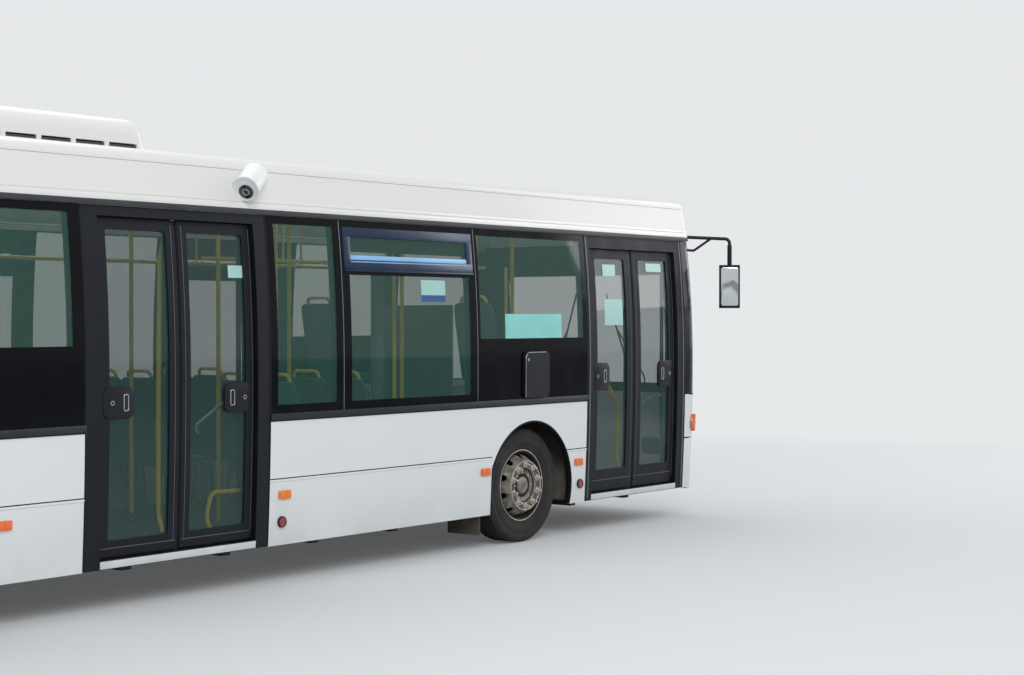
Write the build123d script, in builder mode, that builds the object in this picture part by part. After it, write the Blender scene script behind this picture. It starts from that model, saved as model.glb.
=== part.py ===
from build123d import *
import os
from math import asin, degrees, sqrt

os.makedirs("parts", exist_ok=True)

# City bus, low-entry, 12 m, doors on the right. Millimetres: X forward, Y to the left, Z up.
# The origin is on the ground under the middle of the overall length, mirrors included.

# Overall size and wheels' places
BODY_LENGTH = 12000
BODY_WIDTH = 2550
WHEELBASE = 6000
FRONT_OVERHANG = 2780
MIRROR_REACH = 302

# Heights above the ground
BUMPER_BOTTOM = 261
SKIRT_BOTTOM = 275
SKIRT_TOP = 748
WAIST = 1158
GLASS_BOTTOM = 1210
WIDEST = 1500
BAND_TOP = 2605
GUTTER_TOP = 2640
COVE_TOP = 2912
ROOF_TOP = 3000
FLOOR_TOP = 335
PLATFORM_TOP = 900

# Side section: how far the skin stands inside the widest line
LOWER_TUCK = 35
UPPER_LEAN = 62
GUTTER_STEP = 8
COVE_LEAN = 100
ROOF_ROUND = 190

# Plan corners
FRONT_CORNER = 195
FRONT_BOW = 15000
REAR_CORNER = 200

# Walls
WALL = 60
SKIRT_WALL = 35
PORTAL_WALL = 80
GLASS = 8
BOND_GAP = 0.3
FLOOR_THICK = 35
FIT = 0.3

# Wheels and axles
TYRE_RADIUS = 478
TYRE_WIDTH = 275
TWIN_SPACING = 310
TRACK_INSET = 205
RIM_LIP_RADIUS = 298
RIM_HALF = 108
RIM_LIP_THICK = 13
RIM_SEAT_DROP = 12
SPINDLE_RADIUS = 35
BEARING_GAP = 0.05
KINGPIN_INSET = 385
KINGPIN_RADIUS = 25
ARCH_RADIUS = 592
ARCH_AHEAD = 45
ARCH_HEIGHT = 430
ARCH_REAR_EDGE = 505

# Floor and frame
RAIL_OUTER = 500
RAIL_INNER = 420
LOW_RAIL_BOTTOM = 200
HIGH_RAIL_BOTTOM = 700

# Doors
DOOR_RECESS = 35
LEAF_THICK = 40
LEAF_BOTTOM = 350
JAMB_GAP = 8
MEETING_GAP = 32
POST_INSET = 40
POST_DEPTH = 155
POST_RADIUS = 18
SILL_BOTTOM = 277
HEADER_GAP = 8
BEARING_SIZE = 56

# Places worked out from the above
HALF = BODY_WIDTH / 2
TRACK_HALF = HALF - TRACK_INSET
KINGPIN_Y = HALF - KINGPIN_INSET
POST_Y = HALF - POST_DEPTH
X_FRONT = (BODY_LENGTH + MIRROR_REACH) / 2 - MIRROR_REACH
X_REAR = X_FRONT - BODY_LENGTH
X_FRONT_AXLE = X_FRONT - FRONT_OVERHANG
X_REAR_AXLE = X_FRONT_AXLE - WHEELBASE
CORNER_X = X_FRONT - FRONT_BOW + sqrt((FRONT_BOW - FRONT_CORNER) ** 2 - (HALF - FRONT_CORNER) ** 2)
BOW_ANGLE = degrees(asin((HALF - FRONT_CORNER) / (FRONT_BOW - FRONT_CORNER)))
REAR_X = X_REAR + REAR_CORNER
CEILING = ROOF_TOP - WALL
FLOOR_EDGE = HALF - LOWER_TUCK - PORTAL_WALL - FIT
RIGHT, LEFT = -1, 1

# Doorways. Columns: name, rear jamb, front jamb, leaf top, glass bottom, glass top, stile
DOORS = [
    ("front", X_FRONT_AXLE + 940, X_FRONT_AXLE + 2330, 2490, 530, 2410, 100),
    ("middle", X_REAR_AXLE + 1440, X_REAR_AXLE + 2820, 2530, 450, 2455, 78),
]
FRONT_DOOR, MIDDLE_DOOR = DOORS
# Door frame columns reach from a doorway's jamb to these places. Columns: door, rear end, front end
PORTALS = [
    (FRONT_DOOR, X_FRONT_AXLE + 847, X_FRONT_AXLE + 2457),
    (MIDDLE_DOOR, X_REAR_AXLE + 1305, X_REAR_AXLE + 2940),
]
FRONT_PORTAL_REAR, FRONT_PORTAL_FRONT = PORTALS[0][1:]
MIDDLE_PORTAL_REAR, MIDDLE_PORTAL_FRONT = PORTALS[1][1:]
STEP_X = MIDDLE_PORTAL_REAR

# Side windows, by side: the driver's side and the stretch behind the middle door are in equal bays
FIRST_PANE_SHARE = 0.3233
LAST_JOINT = X_FRONT_AXLE - 709
FIRST_JOINT = MIDDLE_PORTAL_FRONT + FIRST_PANE_SHARE * (LAST_JOINT - MIDDLE_PORTAL_FRONT)
LOW_GLASS, HIGH_GLASS, FRONT_GLASS, CLEAR_TOP, HOPPER_BAR = 1270, 1706, 1713, 2550, 2240
# Columns: bottom of the clear area, bar height or none, rear and front margins of the clear area
REAR_BAYS = [(HIGH_GLASS, 0, 80, 80), (HIGH_GLASS, HOPPER_BAR, 80, 80), (HIGH_GLASS, 0, 80, 99)]
LEFT_BAYS = [
    (HIGH_GLASS, 0, 80, 80),
    (HIGH_GLASS, HOPPER_BAR, 80, 80),
    (HIGH_GLASS, 0, 80, 80),
    (LOW_GLASS, HOPPER_BAR, 80, 80),
    (LOW_GLASS, 0, 80, 80),
    (LOW_GLASS, HOPPER_BAR, 80, 80),
    (FRONT_GLASS, 0, 80, 80),
    (LOW_GLASS, 0, 80, 120),
]


def equal_bays(side, x_low, x_high, bays):
    pitch = (x_high - x_low) / len(bays)
    return [
        (side, x_low + n * pitch, x_low + (n + 1) * pitch, rear, front, bottom, CLEAR_TOP, bar)
        for n, (bottom, bar, rear, front) in enumerate(bays)
    ]


# Columns: side, rear joint, front joint, rear and front margins of the clear area, bottom, top, bar
WINDOWS = [
    (RIGHT, MIDDLE_PORTAL_FRONT, FIRST_JOINT, 75, 75, LOW_GLASS, CLEAR_TOP, 0),
    (RIGHT, FIRST_JOINT, LAST_JOINT, 87, 91, LOW_GLASS, CLEAR_TOP, HOPPER_BAR),
    (RIGHT, LAST_JOINT, FRONT_PORTAL_REAR, 39, 64, FRONT_GLASS, CLEAR_TOP, 0),
    *equal_bays(RIGHT, REAR_X, MIDDLE_PORTAL_REAR, REAR_BAYS),
    *equal_bays(LEFT, REAR_X, CORNER_X, LEFT_BAYS),
]
BAR_HALF = 37
CLEAR_ROUND = 16


def arc_radius(rise, sag):
    return (rise**2 + sag**2) / (2 * sag)


LOWER_RADIUS = arc_radius(WIDEST - SKIRT_BOTTOM, LOWER_TUCK)
UPPER_RADIUS = arc_radius(BAND_TOP - WIDEST, UPPER_LEAN)


def skin(z):
    """How far the skin stands outward of the widest line at a height, so zero or less."""
    radius = LOWER_RADIUS if z < WIDEST else UPPER_RADIUS
    return sqrt(radius**2 - (z - WIDEST) ** 2) - radius


def wall_profile(z_low, z_high, outer, inner):
    """Wall between two heights and two depths from the skin; its x is outward, its y is up."""
    heights = [z_low, WIDEST, z_high] if z_low < WIDEST < z_high else [z_low, z_high]
    with BuildSketch() as profile:
        with BuildLine():
            for depth in (outer, inner):
                for low, high in zip(heights, heights[1:]):
                    middle = (low + high) / 2
                    ThreePointArc(
                        (skin(low) + depth, low),
                        (skin(middle) + depth, middle),
                        (skin(high) + depth, high),
                    )
            for z in (z_low, z_high):
                Line((skin(z) + outer, z), (skin(z) + inner, z))
        make_face()
    return profile.sketch


def roof_profile(depth):
    """Roof edge from the top of the glass band in to a depth; its x is outward, its y is up."""
    with BuildSketch() as profile:
        with BuildLine():
            Polyline(
                (-COVE_LEAN, COVE_TOP),
                (-UPPER_LEAN + GUTTER_STEP, GUTTER_TOP + GUTTER_STEP),
                (-UPPER_LEAN, GUTTER_TOP),
                (-UPPER_LEAN, BAND_TOP),
                (-UPPER_LEAN - WALL, BAND_TOP),
                (-COVE_LEAN - WALL, COVE_TOP - WALL),
                (-ROOF_ROUND, CEILING),
                (-depth, CEILING),
                (-depth, ROOF_TOP),
                (-ROOF_ROUND, ROOF_TOP),
            )
            TangentArc((-ROOF_ROUND, ROOF_TOP), (-COVE_LEAN, COVE_TOP), tangent=(1, 0))
        make_face()
    return profile.sketch


def side_run(side, x_low, x_high, profile):
    """A wall profile drawn out along one side of the bus."""
    plane = Plane(origin=(x_low, side * HALF, 0), x_dir=(0, side, 0), z_dir=(side, 0, 0))
    with BuildPart() as piece:
        with BuildSketch(plane):
            add(profile)
        extrude(amount=side * (x_high - x_low))
    return piece.part


def front_run(profile, bow_profile):
    """A wall profile turned round the front corners, and one across the bowed front."""
    bow = Plane(origin=(X_FRONT, 0, 0), x_dir=(1, 0, 0), z_dir=(0, -1, 0))
    corner = Plane(origin=(CORNER_X, -HALF, 0), x_dir=(0, -1, 0), z_dir=(-1, 0, 0))
    with BuildPart() as piece:
        with BuildSketch(bow):
            add(bow_profile)
        revolve(axis=Axis((X_FRONT - FRONT_BOW, 0, 0), (0, 0, -1)), revolution_arc=BOW_ANGLE)
        with BuildSketch(corner):
            add(profile)
        revolve(axis=Axis((CORNER_X, FRONT_CORNER - HALF, 0), (0, 0, 1)), revolution_arc=90 - BOW_ANGLE)
        mirror(about=Plane.XZ)
    return piece.part


def rear_run(profile):
    """A wall profile turned round the rear corners and drawn out across the flat rear."""
    rear = Plane(origin=(X_REAR, 0, 0), x_dir=(-1, 0, 0), z_dir=(0, 1, 0))
    corner = Plane(origin=(REAR_X, -HALF, 0), x_dir=(0, -1, 0), z_dir=(-1, 0, 0))
    with BuildPart() as piece:
        with BuildSketch(rear):
            add(profile)
        extrude(amount=-(HALF - REAR_CORNER))
        with BuildSketch(corner):
            add(profile)
        revolve(axis=Axis((REAR_X, REAR_CORNER - HALF, 0), (0, 0, -1)), revolution_arc=90)
        mirror(about=Plane.XZ)
    return piece.part


def block(x_low, x_high, y_low, y_high, z_low, z_high, mode=Mode.ADD):
    """A box between two corners."""
    with Locations(((x_low + x_high) / 2, (y_low + y_high) / 2, (z_low + z_high) / 2)):
        return Box(x_high - x_low, y_high - y_low, z_high - z_low, mode=mode)


def opening(x_low, x_high, y_low, y_high, z_low, z_high, radius):
    """A rounded rectangle seen from the side, drawn out across the bus, to cut a wall."""
    with BuildPart() as piece:
        with BuildSketch(Plane.XZ.offset(-y_high)):
            with Locations(((x_low + x_high) / 2, (z_low + z_high) / 2)):
                RectangleRounded(x_high - x_low, z_high - z_low, radius)
        extrude(amount=y_high - y_low)
    return piece.part


def end_opening(x_low, x_high, y_low, y_high, z_low, z_high, radius):
    """A rounded rectangle seen from the front, drawn out along the bus, to cut a wall."""
    with BuildPart() as piece:
        with BuildSketch(Plane.YZ.offset(x_low)):
            with Locations(((y_low + y_high) / 2, (z_low + z_high) / 2)):
                RectangleRounded(y_high - y_low, z_high - z_low, radius)
        extrude(amount=x_high - x_low)
    return piece.part


def side_span(side, inner, outer):
    """The lower and the higher y of a range given by its distances from the middle."""
    return sorted((side * inner, side * outer))


def arch_cut():
    """Both pairs of wheel arches: round, with an upright rear edge."""
    with BuildPart() as piece:
        for x_axle in (X_FRONT_AXLE, X_REAR_AXLE):
            with BuildSketch(Plane.XZ.offset(-HALF)):
                with Locations((x_axle + ARCH_AHEAD, ARCH_HEIGHT)):
                    Circle(ARCH_RADIUS)
                with Locations((x_axle - ARCH_REAR_EDGE - ARCH_RADIUS / 2, ARCH_HEIGHT)):
                    Rectangle(ARCH_RADIUS, 2 * ARCH_RADIUS, mode=Mode.SUBTRACT)
            extrude(amount=BODY_WIDTH)
    return piece.part


def finish(piece, name):
    piece.part.label = name
    export_step(piece.part, f"parts/{name}.step")


arches = arch_cut()

# White side panels between the skirts and the glass band
with BuildPart() as side_panels:
    panel = wall_profile(SKIRT_TOP, WAIST, 0, -WALL)
    add(side_run(LEFT, REAR_X, CORNER_X, panel))
    add(side_run(RIGHT, REAR_X, MIDDLE_PORTAL_REAR, panel))
    add(side_run(RIGHT, MIDDLE_PORTAL_FRONT, FRONT_PORTAL_REAR, panel))
    add(arches, mode=Mode.SUBTRACT)
finish(side_panels, "side_panels")

# Skirts below the panels
with BuildPart() as skirts:
    skirt = wall_profile(SKIRT_BOTTOM, SKIRT_TOP, 0, -SKIRT_WALL)
    add(side_run(LEFT, REAR_X, CORNER_X, skirt))
    add(side_run(RIGHT, REAR_X, MIDDLE_PORTAL_REAR, skirt))
    add(side_run(RIGHT, MIDDLE_PORTAL_FRONT, FRONT_PORTAL_REAR, skirt))
    add(arches, mode=Mode.SUBTRACT)
finish(skirts, "skirts")


def band_runs(side):
    """The stretches of one side that carry the glass band. Columns: rear end, front end"""
    if side == LEFT:
        return [(REAR_X, CORNER_X)]
    return [(REAR_X, MIDDLE_PORTAL_REAR), (MIDDLE_PORTAL_FRONT, FRONT_PORTAL_REAR)]


def glass_band(side):
    """The wall behind the glass of one side, with its window openings and waist moulding."""
    with BuildPart() as piece:
        for x_low, x_high in band_runs(side):
            add(side_run(side, x_low, x_high, wall_profile(WAIST, GLASS_BOTTOM, 0, -WALL)))
            behind_glass = wall_profile(GLASS_BOTTOM, BAND_TOP, -GLASS - BOND_GAP, -WALL)
            add(side_run(side, x_low, x_high, behind_glass))
        y_low, y_high = side_span(side, HALF - 3 * WALL, HALF)
        for row_side, rear_joint, front_joint, rear_margin, front_margin, z_low, z_high, bar in WINDOWS:
            if row_side != side:
                continue
            x_low = rear_joint + rear_margin
            x_high = front_joint - front_margin
            if bar:
                lights = [(z_low, bar - BAR_HALF), (bar + BAR_HALF, z_high)]
            else:
                lights = [(z_low, z_high)]
            for bottom, top in lights:
                cut = opening(x_low, x_high, y_low, y_high, bottom, top, CLEAR_ROUND)
                add(cut, mode=Mode.SUBTRACT)
    return piece


right_band = glass_band(RIGHT)
finish(right_band, "right_band")
left_band = glass_band(LEFT)
finish(left_band, "left_band")

# Flush side glass, one pane to each stretch between joints
PANE_GAP = 4
with BuildPart() as side_windows:
    pane = wall_profile(GLASS_BOTTOM + FIT, BAND_TOP - FIT, 0, -GLASS)
    for side, rear_joint, front_joint, *_ in WINDOWS:
        x_low = rear_joint + PANE_GAP
        x_high = front_joint - PANE_GAP
        add(side_run(side, x_low, x_high, pane))
finish(side_windows, "side_windows")

# Door frames: columns, header and sill round each doorway
with BuildPart() as door_frames:
    for (_, rear_jamb, front_jamb, leaf_top, *_), rear_end, front_end in PORTALS:
        column = wall_profile(SILL_BOTTOM, BAND_TOP, 0, -PORTAL_WALL)
        add(side_run(RIGHT, rear_end, rear_jamb, column))
        add(side_run(RIGHT, front_jamb, front_end, column))
        header = wall_profile(leaf_top + HEADER_GAP, BAND_TOP, 0, -PORTAL_WALL)
        add(side_run(RIGHT, rear_jamb, front_jamb, header))
        sill = wall_profile(SILL_BOTTOM, FLOOR_TOP, 0, -PORTAL_WALL)
        add(side_run(RIGHT, rear_jamb, front_jamb, sill))
        for x_post in (rear_jamb + POST_INSET, front_jamb - POST_INSET):
            z_low = leaf_top + HEADER_GAP
            block(
                x_post - BEARING_SIZE / 2,
                x_post + BEARING_SIZE / 2,
                -HALF + PORTAL_WALL,
                -POST_Y + BEARING_SIZE / 2,
                z_low,
                z_low + BEARING_SIZE,
            )
finish(door_frames, "door_frames")


def leaf_span(door, which):
    """Rear end, front end and hinge end of a door's rear (0) or front (1) leaf."""
    _, rear_jamb, front_jamb, *_ = door
    width = (front_jamb - rear_jamb - 2 * JAMB_GAP - MEETING_GAP) / 2
    if which == 0:
        return rear_jamb + JAMB_GAP, rear_jamb + JAMB_GAP + width, rear_jamb + POST_INSET
    return front_jamb - JAMB_GAP - width, front_jamb - JAMB_GAP, front_jamb - POST_INSET


ARM_HEIGHTS = (440, 2350)
ARM_SIZE = 40


def door_leaf(door, which):
    """Leaf frame with its glass opening, its upright post and the arms that join them."""
    _, _, _, leaf_top, glass_low, glass_high, stile = door
    x_low, x_high, x_post = leaf_span(door, which)
    y_low, y_high = side_span(RIGHT, HALF - 4 * WALL, HALF)
    with BuildPart() as piece:
        leaf = wall_profile(LEAF_BOTTOM, leaf_top, -DOOR_RECESS, -DOOR_RECESS - LEAF_THICK)
        add(side_run(RIGHT, x_low, x_high, leaf))
        x_clear = (x_low + stile, x_high - stile)
        window = opening(*x_clear, y_low, y_high, glass_low, glass_high, CLEAR_ROUND)
        add(window, mode=Mode.SUBTRACT)
        foot, head = FLOOR_TOP + FIT, leaf_top + HEADER_GAP - FIT
        with Locations((x_post, -POST_Y, (foot + head) / 2)):
            Cylinder(POST_RADIUS, head - foot)
        for z in ARM_HEIGHTS:
            y_leaf = HALF + skin(z) - DOOR_RECESS - LEAF_THICK / 2
            block(
                x_post - POST_RADIUS,
                x_post + POST_RADIUS,
                -y_leaf,
                -POST_Y,
                z - ARM_SIZE / 2,
                z + ARM_SIZE / 2,
            )
    return piece


def door_glass(door, which):
    """The pane in a leaf's opening."""
    _, _, _, _, glass_low, glass_high, stile = door
    x_low, x_high, _ = leaf_span(door, which)
    y_low, y_high = side_span(RIGHT, HALF - 4 * WALL, HALF)
    with BuildPart() as piece:
        depth = -DOOR_RECESS - LEAF_THICK / 4
        pane = wall_profile(glass_low, glass_high, depth, depth - GLASS)
        add(side_run(RIGHT, x_low, x_high, pane))
        window = opening(
            x_low + stile + FIT,
            x_high - stile - FIT,
            y_low,
            y_high,
            glass_low + FIT,
            glass_high - FIT,
            CLEAR_ROUND - FIT,
        )
        add(window, mode=Mode.INTERSECT)
    return piece


for door in DOORS:
    for which, end in enumerate(("rear", "front")):
        leaf_name = f"{door[0]}_door_{end}_leaf"
        finish(door_leaf(door, which), leaf_name)
        finish(door_glass(door, which), f"{leaf_name}_glass")

# Roof shell with its coves, rounded ends and hatch opening ahead of the roof pod
POD_REAR = X_REAR + 1826
POD_LENGTH = 3500
POD_FRONT = POD_REAR + POD_LENGTH
HATCH_LENGTH = 560
HATCH_WIDTH = 700
HATCH_X = POD_FRONT + 545
HATCH_RIM = 40
HATCH_RISE = 85
HATCH_TOP = ROOF_TOP + HATCH_RISE
ROOF_PLATE_DEPTH = 330
with BuildPart() as roof:
    for side in (RIGHT, LEFT):
        add(side_run(side, REAR_X, CORNER_X, roof_profile(HALF)))
    add(front_run(roof_profile(FRONT_CORNER), roof_profile(ROOF_PLATE_DEPTH)))
    add(rear_run(roof_profile(REAR_CORNER)))
    block(
        HATCH_X + HATCH_RIM,
        HATCH_X + HATCH_LENGTH - HATCH_RIM,
        -HATCH_WIDTH / 2 + HATCH_RIM,
        HATCH_WIDTH / 2 - HATCH_RIM,
        CEILING - WALL,
        ROOF_TOP + WALL,
        mode=Mode.SUBTRACT,
    )
finish(roof, "roof")

# Escape hatch lid, hinged along its rear edge, with a hinge lug at each rear corner
HATCH_EDGE = 18
HATCH_CORNER = 50
HATCH_TAPER = 8
HATCH_ROUND = 20
with BuildPart() as roof_hatch:
    with BuildSketch(Plane.XY.offset(ROOF_TOP + FIT)):
        with Locations((HATCH_X + HATCH_LENGTH / 2, 0)):
            RectangleRounded(HATCH_LENGTH, HATCH_WIDTH, HATCH_CORNER)
    extrude(amount=HATCH_RISE - FIT, taper=HATCH_TAPER)
    fillet(roof_hatch.edges().group_by(Axis.Z)[-1], radius=HATCH_ROUND)
    block(
        HATCH_X + 2 * HATCH_EDGE,
        HATCH_X + HATCH_LENGTH - 2 * HATCH_EDGE,
        -HATCH_WIDTH / 2 + 2 * HATCH_EDGE,
        HATCH_WIDTH / 2 - 2 * HATCH_EDGE,
        ROOF_TOP,
        HATCH_TOP - HATCH_EDGE,
        mode=Mode.SUBTRACT,
    )
finish(roof_hatch, "roof_hatch")

# Roof pod with rounded ends and a row of slots along each side
POD_HALF = HALF - 275
POD_TOP = ROOF_TOP + 210
POD_SLOPE = 70
POD_ROUND = 150
POD_EDGE = 110
SLOT_START = 120
SLOT_PITCH = 274
SLOT_LENGTH = 236
SLOT_BOTTOM = ROOF_TOP + 12
SLOT_HEIGHT = 27
SLOT_COUNT = 12
SLOT_DEPTH = 30
with BuildPart() as roof_pod:
    with BuildSketch(Plane.XZ.offset(-POD_HALF)):
        with BuildLine():
            FilletPolyline(
                (POD_REAR, ROOF_TOP + FIT),
                (POD_REAR + POD_SLOPE, POD_TOP),
                (POD_FRONT - POD_SLOPE, POD_TOP),
                (POD_FRONT, ROOF_TOP + FIT),
                radius=POD_ROUND,
            )
            Line((POD_FRONT, ROOF_TOP + FIT), (POD_REAR, ROOF_TOP + FIT))
        make_face()
    extrude(amount=2 * POD_HALF)
    fillet(roof_pod.edges().filter_by(Axis.X).group_by(Axis.Z)[-1], radius=POD_EDGE)
    for side in (RIGHT, LEFT):
        for number in range(SLOT_COUNT):
            x = POD_FRONT - SLOT_START - (number + 0.5) * SLOT_PITCH
            y_low, y_high = side_span(side, POD_HALF - SLOT_DEPTH, POD_HALF + SLOT_DEPTH)
            block(
                x - SLOT_LENGTH / 2,
                x + SLOT_LENGTH / 2,
                y_low,
                y_high,
                SLOT_BOTTOM,
                SLOT_BOTTOM + SLOT_HEIGHT,
                mode=Mode.SUBTRACT,
            )
finish(roof_pod, "roof_pod")

# Front: bumper, panel, pillars with the windscreen opening, windscreen
LAMP_SPAN = (HALF - 635, HALF - 235)
LAMP_BOTTOM = 560
LAMP_TOP = 720
LAMP_ROUND = 40
LENS_RECESS = 3
SCREEN_HALF = HALF - 275
SCREEN_BOTTOM = 1250
SCREEN_TOP = 2300
SCREEN_ROUND = 90


def front_openings(gap):
    """The two headlamp places in the front, grown by a gap."""
    with BuildPart() as piece:
        for side in (RIGHT, LEFT):
            y_low, y_high = side_span(side, LAMP_SPAN[0] - gap, LAMP_SPAN[1] + gap)
            z_low, z_high = LAMP_BOTTOM - gap, LAMP_TOP + gap
            add(end_opening(CORNER_X, X_FRONT + WALL, y_low, y_high, z_low, z_high, LAMP_ROUND + gap))
    return piece.part


def front_part(z_low, z_high, outer, inner):
    profile = wall_profile(z_low, z_high, outer, inner)
    return front_run(profile, profile)


with BuildPart() as front_bumper:
    add(front_part(BUMPER_BOTTOM, SKIRT_TOP, 0, -WALL))
    add(front_openings(FIT), mode=Mode.SUBTRACT)
    add(side_run(RIGHT, FRONT_PORTAL_FRONT, CORNER_X, wall_profile(SKIRT_BOTTOM, SKIRT_TOP, 0, -WALL)))
finish(front_bumper, "front_bumper")

with BuildPart() as head_lamps:
    add(front_part(LAMP_BOTTOM - WALL, LAMP_TOP + WALL, -LENS_RECESS, -WALL))
    add(front_openings(0), mode=Mode.INTERSECT)
finish(head_lamps, "head_lamps")

with BuildPart() as front_panel:
    add(front_part(SKIRT_TOP, WAIST, 0, -WALL))
    add(side_run(RIGHT, FRONT_PORTAL_FRONT, CORNER_X, wall_profile(SKIRT_TOP, WAIST, 0, -WALL)))
finish(front_panel, "front_panel")

with BuildPart() as front_pillars:
    add(front_part(WAIST, BAND_TOP, -GLASS - BOND_GAP, -WALL))
    screen = (-SCREEN_HALF, SCREEN_HALF, SCREEN_BOTTOM, SCREEN_TOP, SCREEN_ROUND)
    add(end_opening(CORNER_X, X_FRONT + WALL, *screen), mode=Mode.SUBTRACT)
    add(side_run(RIGHT, FRONT_PORTAL_FRONT, CORNER_X, wall_profile(WAIST, BAND_TOP, 0, -WALL)))
finish(front_pillars, "front_pillars")

with BuildPart() as windscreen:
    add(front_part(WAIST + FIT, BAND_TOP - FIT, 0, -GLASS))
finish(windscreen, "windscreen")

# Rear: bumper, panel with its openings, window, engine door, lamps
ENGINE_DOOR_HALF = HALF - 395
ENGINE_DOOR_BOTTOM = 760
ENGINE_DOOR_TOP = 1440
ENGINE_DOOR_GAP = 7
ENGINE_DOOR_ROUND = 30
LUG_Y = 500
LUG_WIDTH = 120
LOUVRE_COUNT = 6
LOUVRE_BOTTOM = 1090
LOUVRE_PITCH = 50
LOUVRE_HEIGHT = 24
LOUVRE_INNER = 90
REAR_GLASS_HALF = HALF - 375
REAR_GLASS_BOTTOM = 1560
REAR_GLASS_TOP = 2420
REAR_GLASS_ROUND = 80
TAIL_SPAN = (HALF - 315, HALF - 165)
TAIL_BOTTOM = 800
TAIL_TOP = 1160


def rear_part(z_low, z_high, outer, inner):
    return rear_run(wall_profile(z_low, z_high, outer, inner))


def tail_openings(gap):
    """The two tail lamp places in the rear, grown by a gap."""
    with BuildPart() as piece:
        for side in (RIGHT, LEFT):
            y_low, y_high = side_span(side, TAIL_SPAN[0] - gap, TAIL_SPAN[1] + gap)
            z_low, z_high = TAIL_BOTTOM - gap, TAIL_TOP + gap
            add(end_opening(X_REAR - WALL, REAR_X, y_low, y_high, z_low, z_high, LAMP_ROUND + gap))
    return piece.part


def engine_opening(gap):
    return end_opening(
        X_REAR - WALL,
        REAR_X,
        -ENGINE_DOOR_HALF - gap,
        ENGINE_DOOR_HALF + gap,
        ENGINE_DOOR_BOTTOM - gap,
        ENGINE_DOOR_TOP + gap,
        ENGINE_DOOR_ROUND + gap,
    )


def rear_window_opening(gap):
    return end_opening(
        X_REAR - WALL,
        REAR_X,
        -REAR_GLASS_HALF - gap,
        REAR_GLASS_HALF + gap,
        REAR_GLASS_BOTTOM - gap,
        REAR_GLASS_TOP + gap,
        REAR_GLASS_ROUND + gap,
    )


with BuildPart() as rear_bumper:
    add(rear_part(SKIRT_BOTTOM, SKIRT_TOP, 0, -WALL))
finish(rear_bumper, "rear_bumper")

with BuildPart() as rear_panel:
    add(rear_part(SKIRT_TOP, BAND_TOP, 0, -WALL))
    add(engine_opening(ENGINE_DOOR_GAP), mode=Mode.SUBTRACT)
    add(rear_window_opening(0), mode=Mode.SUBTRACT)
    add(tail_openings(FIT), mode=Mode.SUBTRACT)
finish(rear_panel, "rear_panel")

with BuildPart() as rear_window:
    add(rear_part(REAR_GLASS_BOTTOM - WALL / 2, REAR_GLASS_TOP + WALL, -GLASS, -2 * GLASS))
    add(rear_window_opening(-FIT), mode=Mode.INTERSECT)
finish(rear_window, "rear_window")

with BuildPart() as engine_door:
    add(rear_part(ENGINE_DOOR_BOTTOM - WALL, ENGINE_DOOR_TOP + WALL / 2, 0, -LEAF_THICK))
    add(engine_opening(0), mode=Mode.INTERSECT)
    for side in (RIGHT, LEFT):
        y_low, y_high = side_span(side, LUG_Y, LUG_Y + LUG_WIDTH)
        lug_x = X_REAR - skin(ENGINE_DOOR_TOP)
        lug_top = ENGINE_DOOR_TOP + ENGINE_DOOR_GAP - FIT
        block(lug_x, lug_x + GLASS, y_low, y_high, ENGINE_DOOR_TOP - ENGINE_DOOR_GAP, lug_top)
    for row in range(LOUVRE_COUNT):
        for side in (RIGHT, LEFT):
            y_low, y_high = side_span(side, LOUVRE_INNER, ENGINE_DOOR_HALF - LOUVRE_INNER)
            z = LOUVRE_BOTTOM + row * LOUVRE_PITCH
            depth = (X_REAR - WALL, X_REAR + LEAF_THICK / 2)
            block(*depth, y_low, y_high, z, z + LOUVRE_HEIGHT, mode=Mode.SUBTRACT)
finish(engine_door, "engine_door")

with BuildPart() as tail_lamps:
    add(rear_part(TAIL_BOTTOM - WALL, TAIL_TOP + WALL, -LENS_RECESS, -WALL))
    add(tail_openings(0), mode=Mode.INTERSECT)
finish(tail_lamps, "tail_lamps")

# Wheel boxes over the tyres, open below and to the outside
BOX_WALL = 12
BOX_TOP = 1060
FRONT_BOX_INNER = HALF - 730
REAR_BOX_INNER = HALF - 695
FRONT_BOX_HALF = 655
REAR_BOX_HALF = 655
BOX_OUTER = HALF - 90
REAR_BOX_BOTTOM = 600
# Columns: axle, inner side, half length, bottom
BOXES = [
    (X_FRONT_AXLE, FRONT_BOX_INNER, FRONT_BOX_HALF, FLOOR_TOP - FLOOR_THICK),
    (X_REAR_AXLE, REAR_BOX_INNER, REAR_BOX_HALF, REAR_BOX_BOTTOM),
]
with BuildPart() as wheel_boxes:
    for x_axle, inner, half, bottom in BOXES:
        for side in (RIGHT, LEFT):
            y_low, y_high = side_span(side, inner, BOX_OUTER)
            block(x_axle - half, x_axle + half, y_low, y_high, bottom, BOX_TOP)
            y_low, y_high = side_span(side, inner + BOX_WALL, BOX_OUTER + WALL)
            block(
                x_axle - half + BOX_WALL,
                x_axle + half - BOX_WALL,
                y_low,
                y_high,
                0,
                BOX_TOP - BOX_WALL,
                mode=Mode.SUBTRACT,
            )
finish(wheel_boxes, "wheel_boxes")


def box_cuts(z_low, z_high):
    """The places of the wheel boxes, to cut a floor."""
    with BuildPart() as piece:
        for x_axle, inner, half, _ in BOXES:
            for side in (RIGHT, LEFT):
                y_low, y_high = side_span(side, inner, HALF)
                block(x_axle - half, x_axle + half, y_low, y_high, z_low, z_high)
    return piece.part


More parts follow.
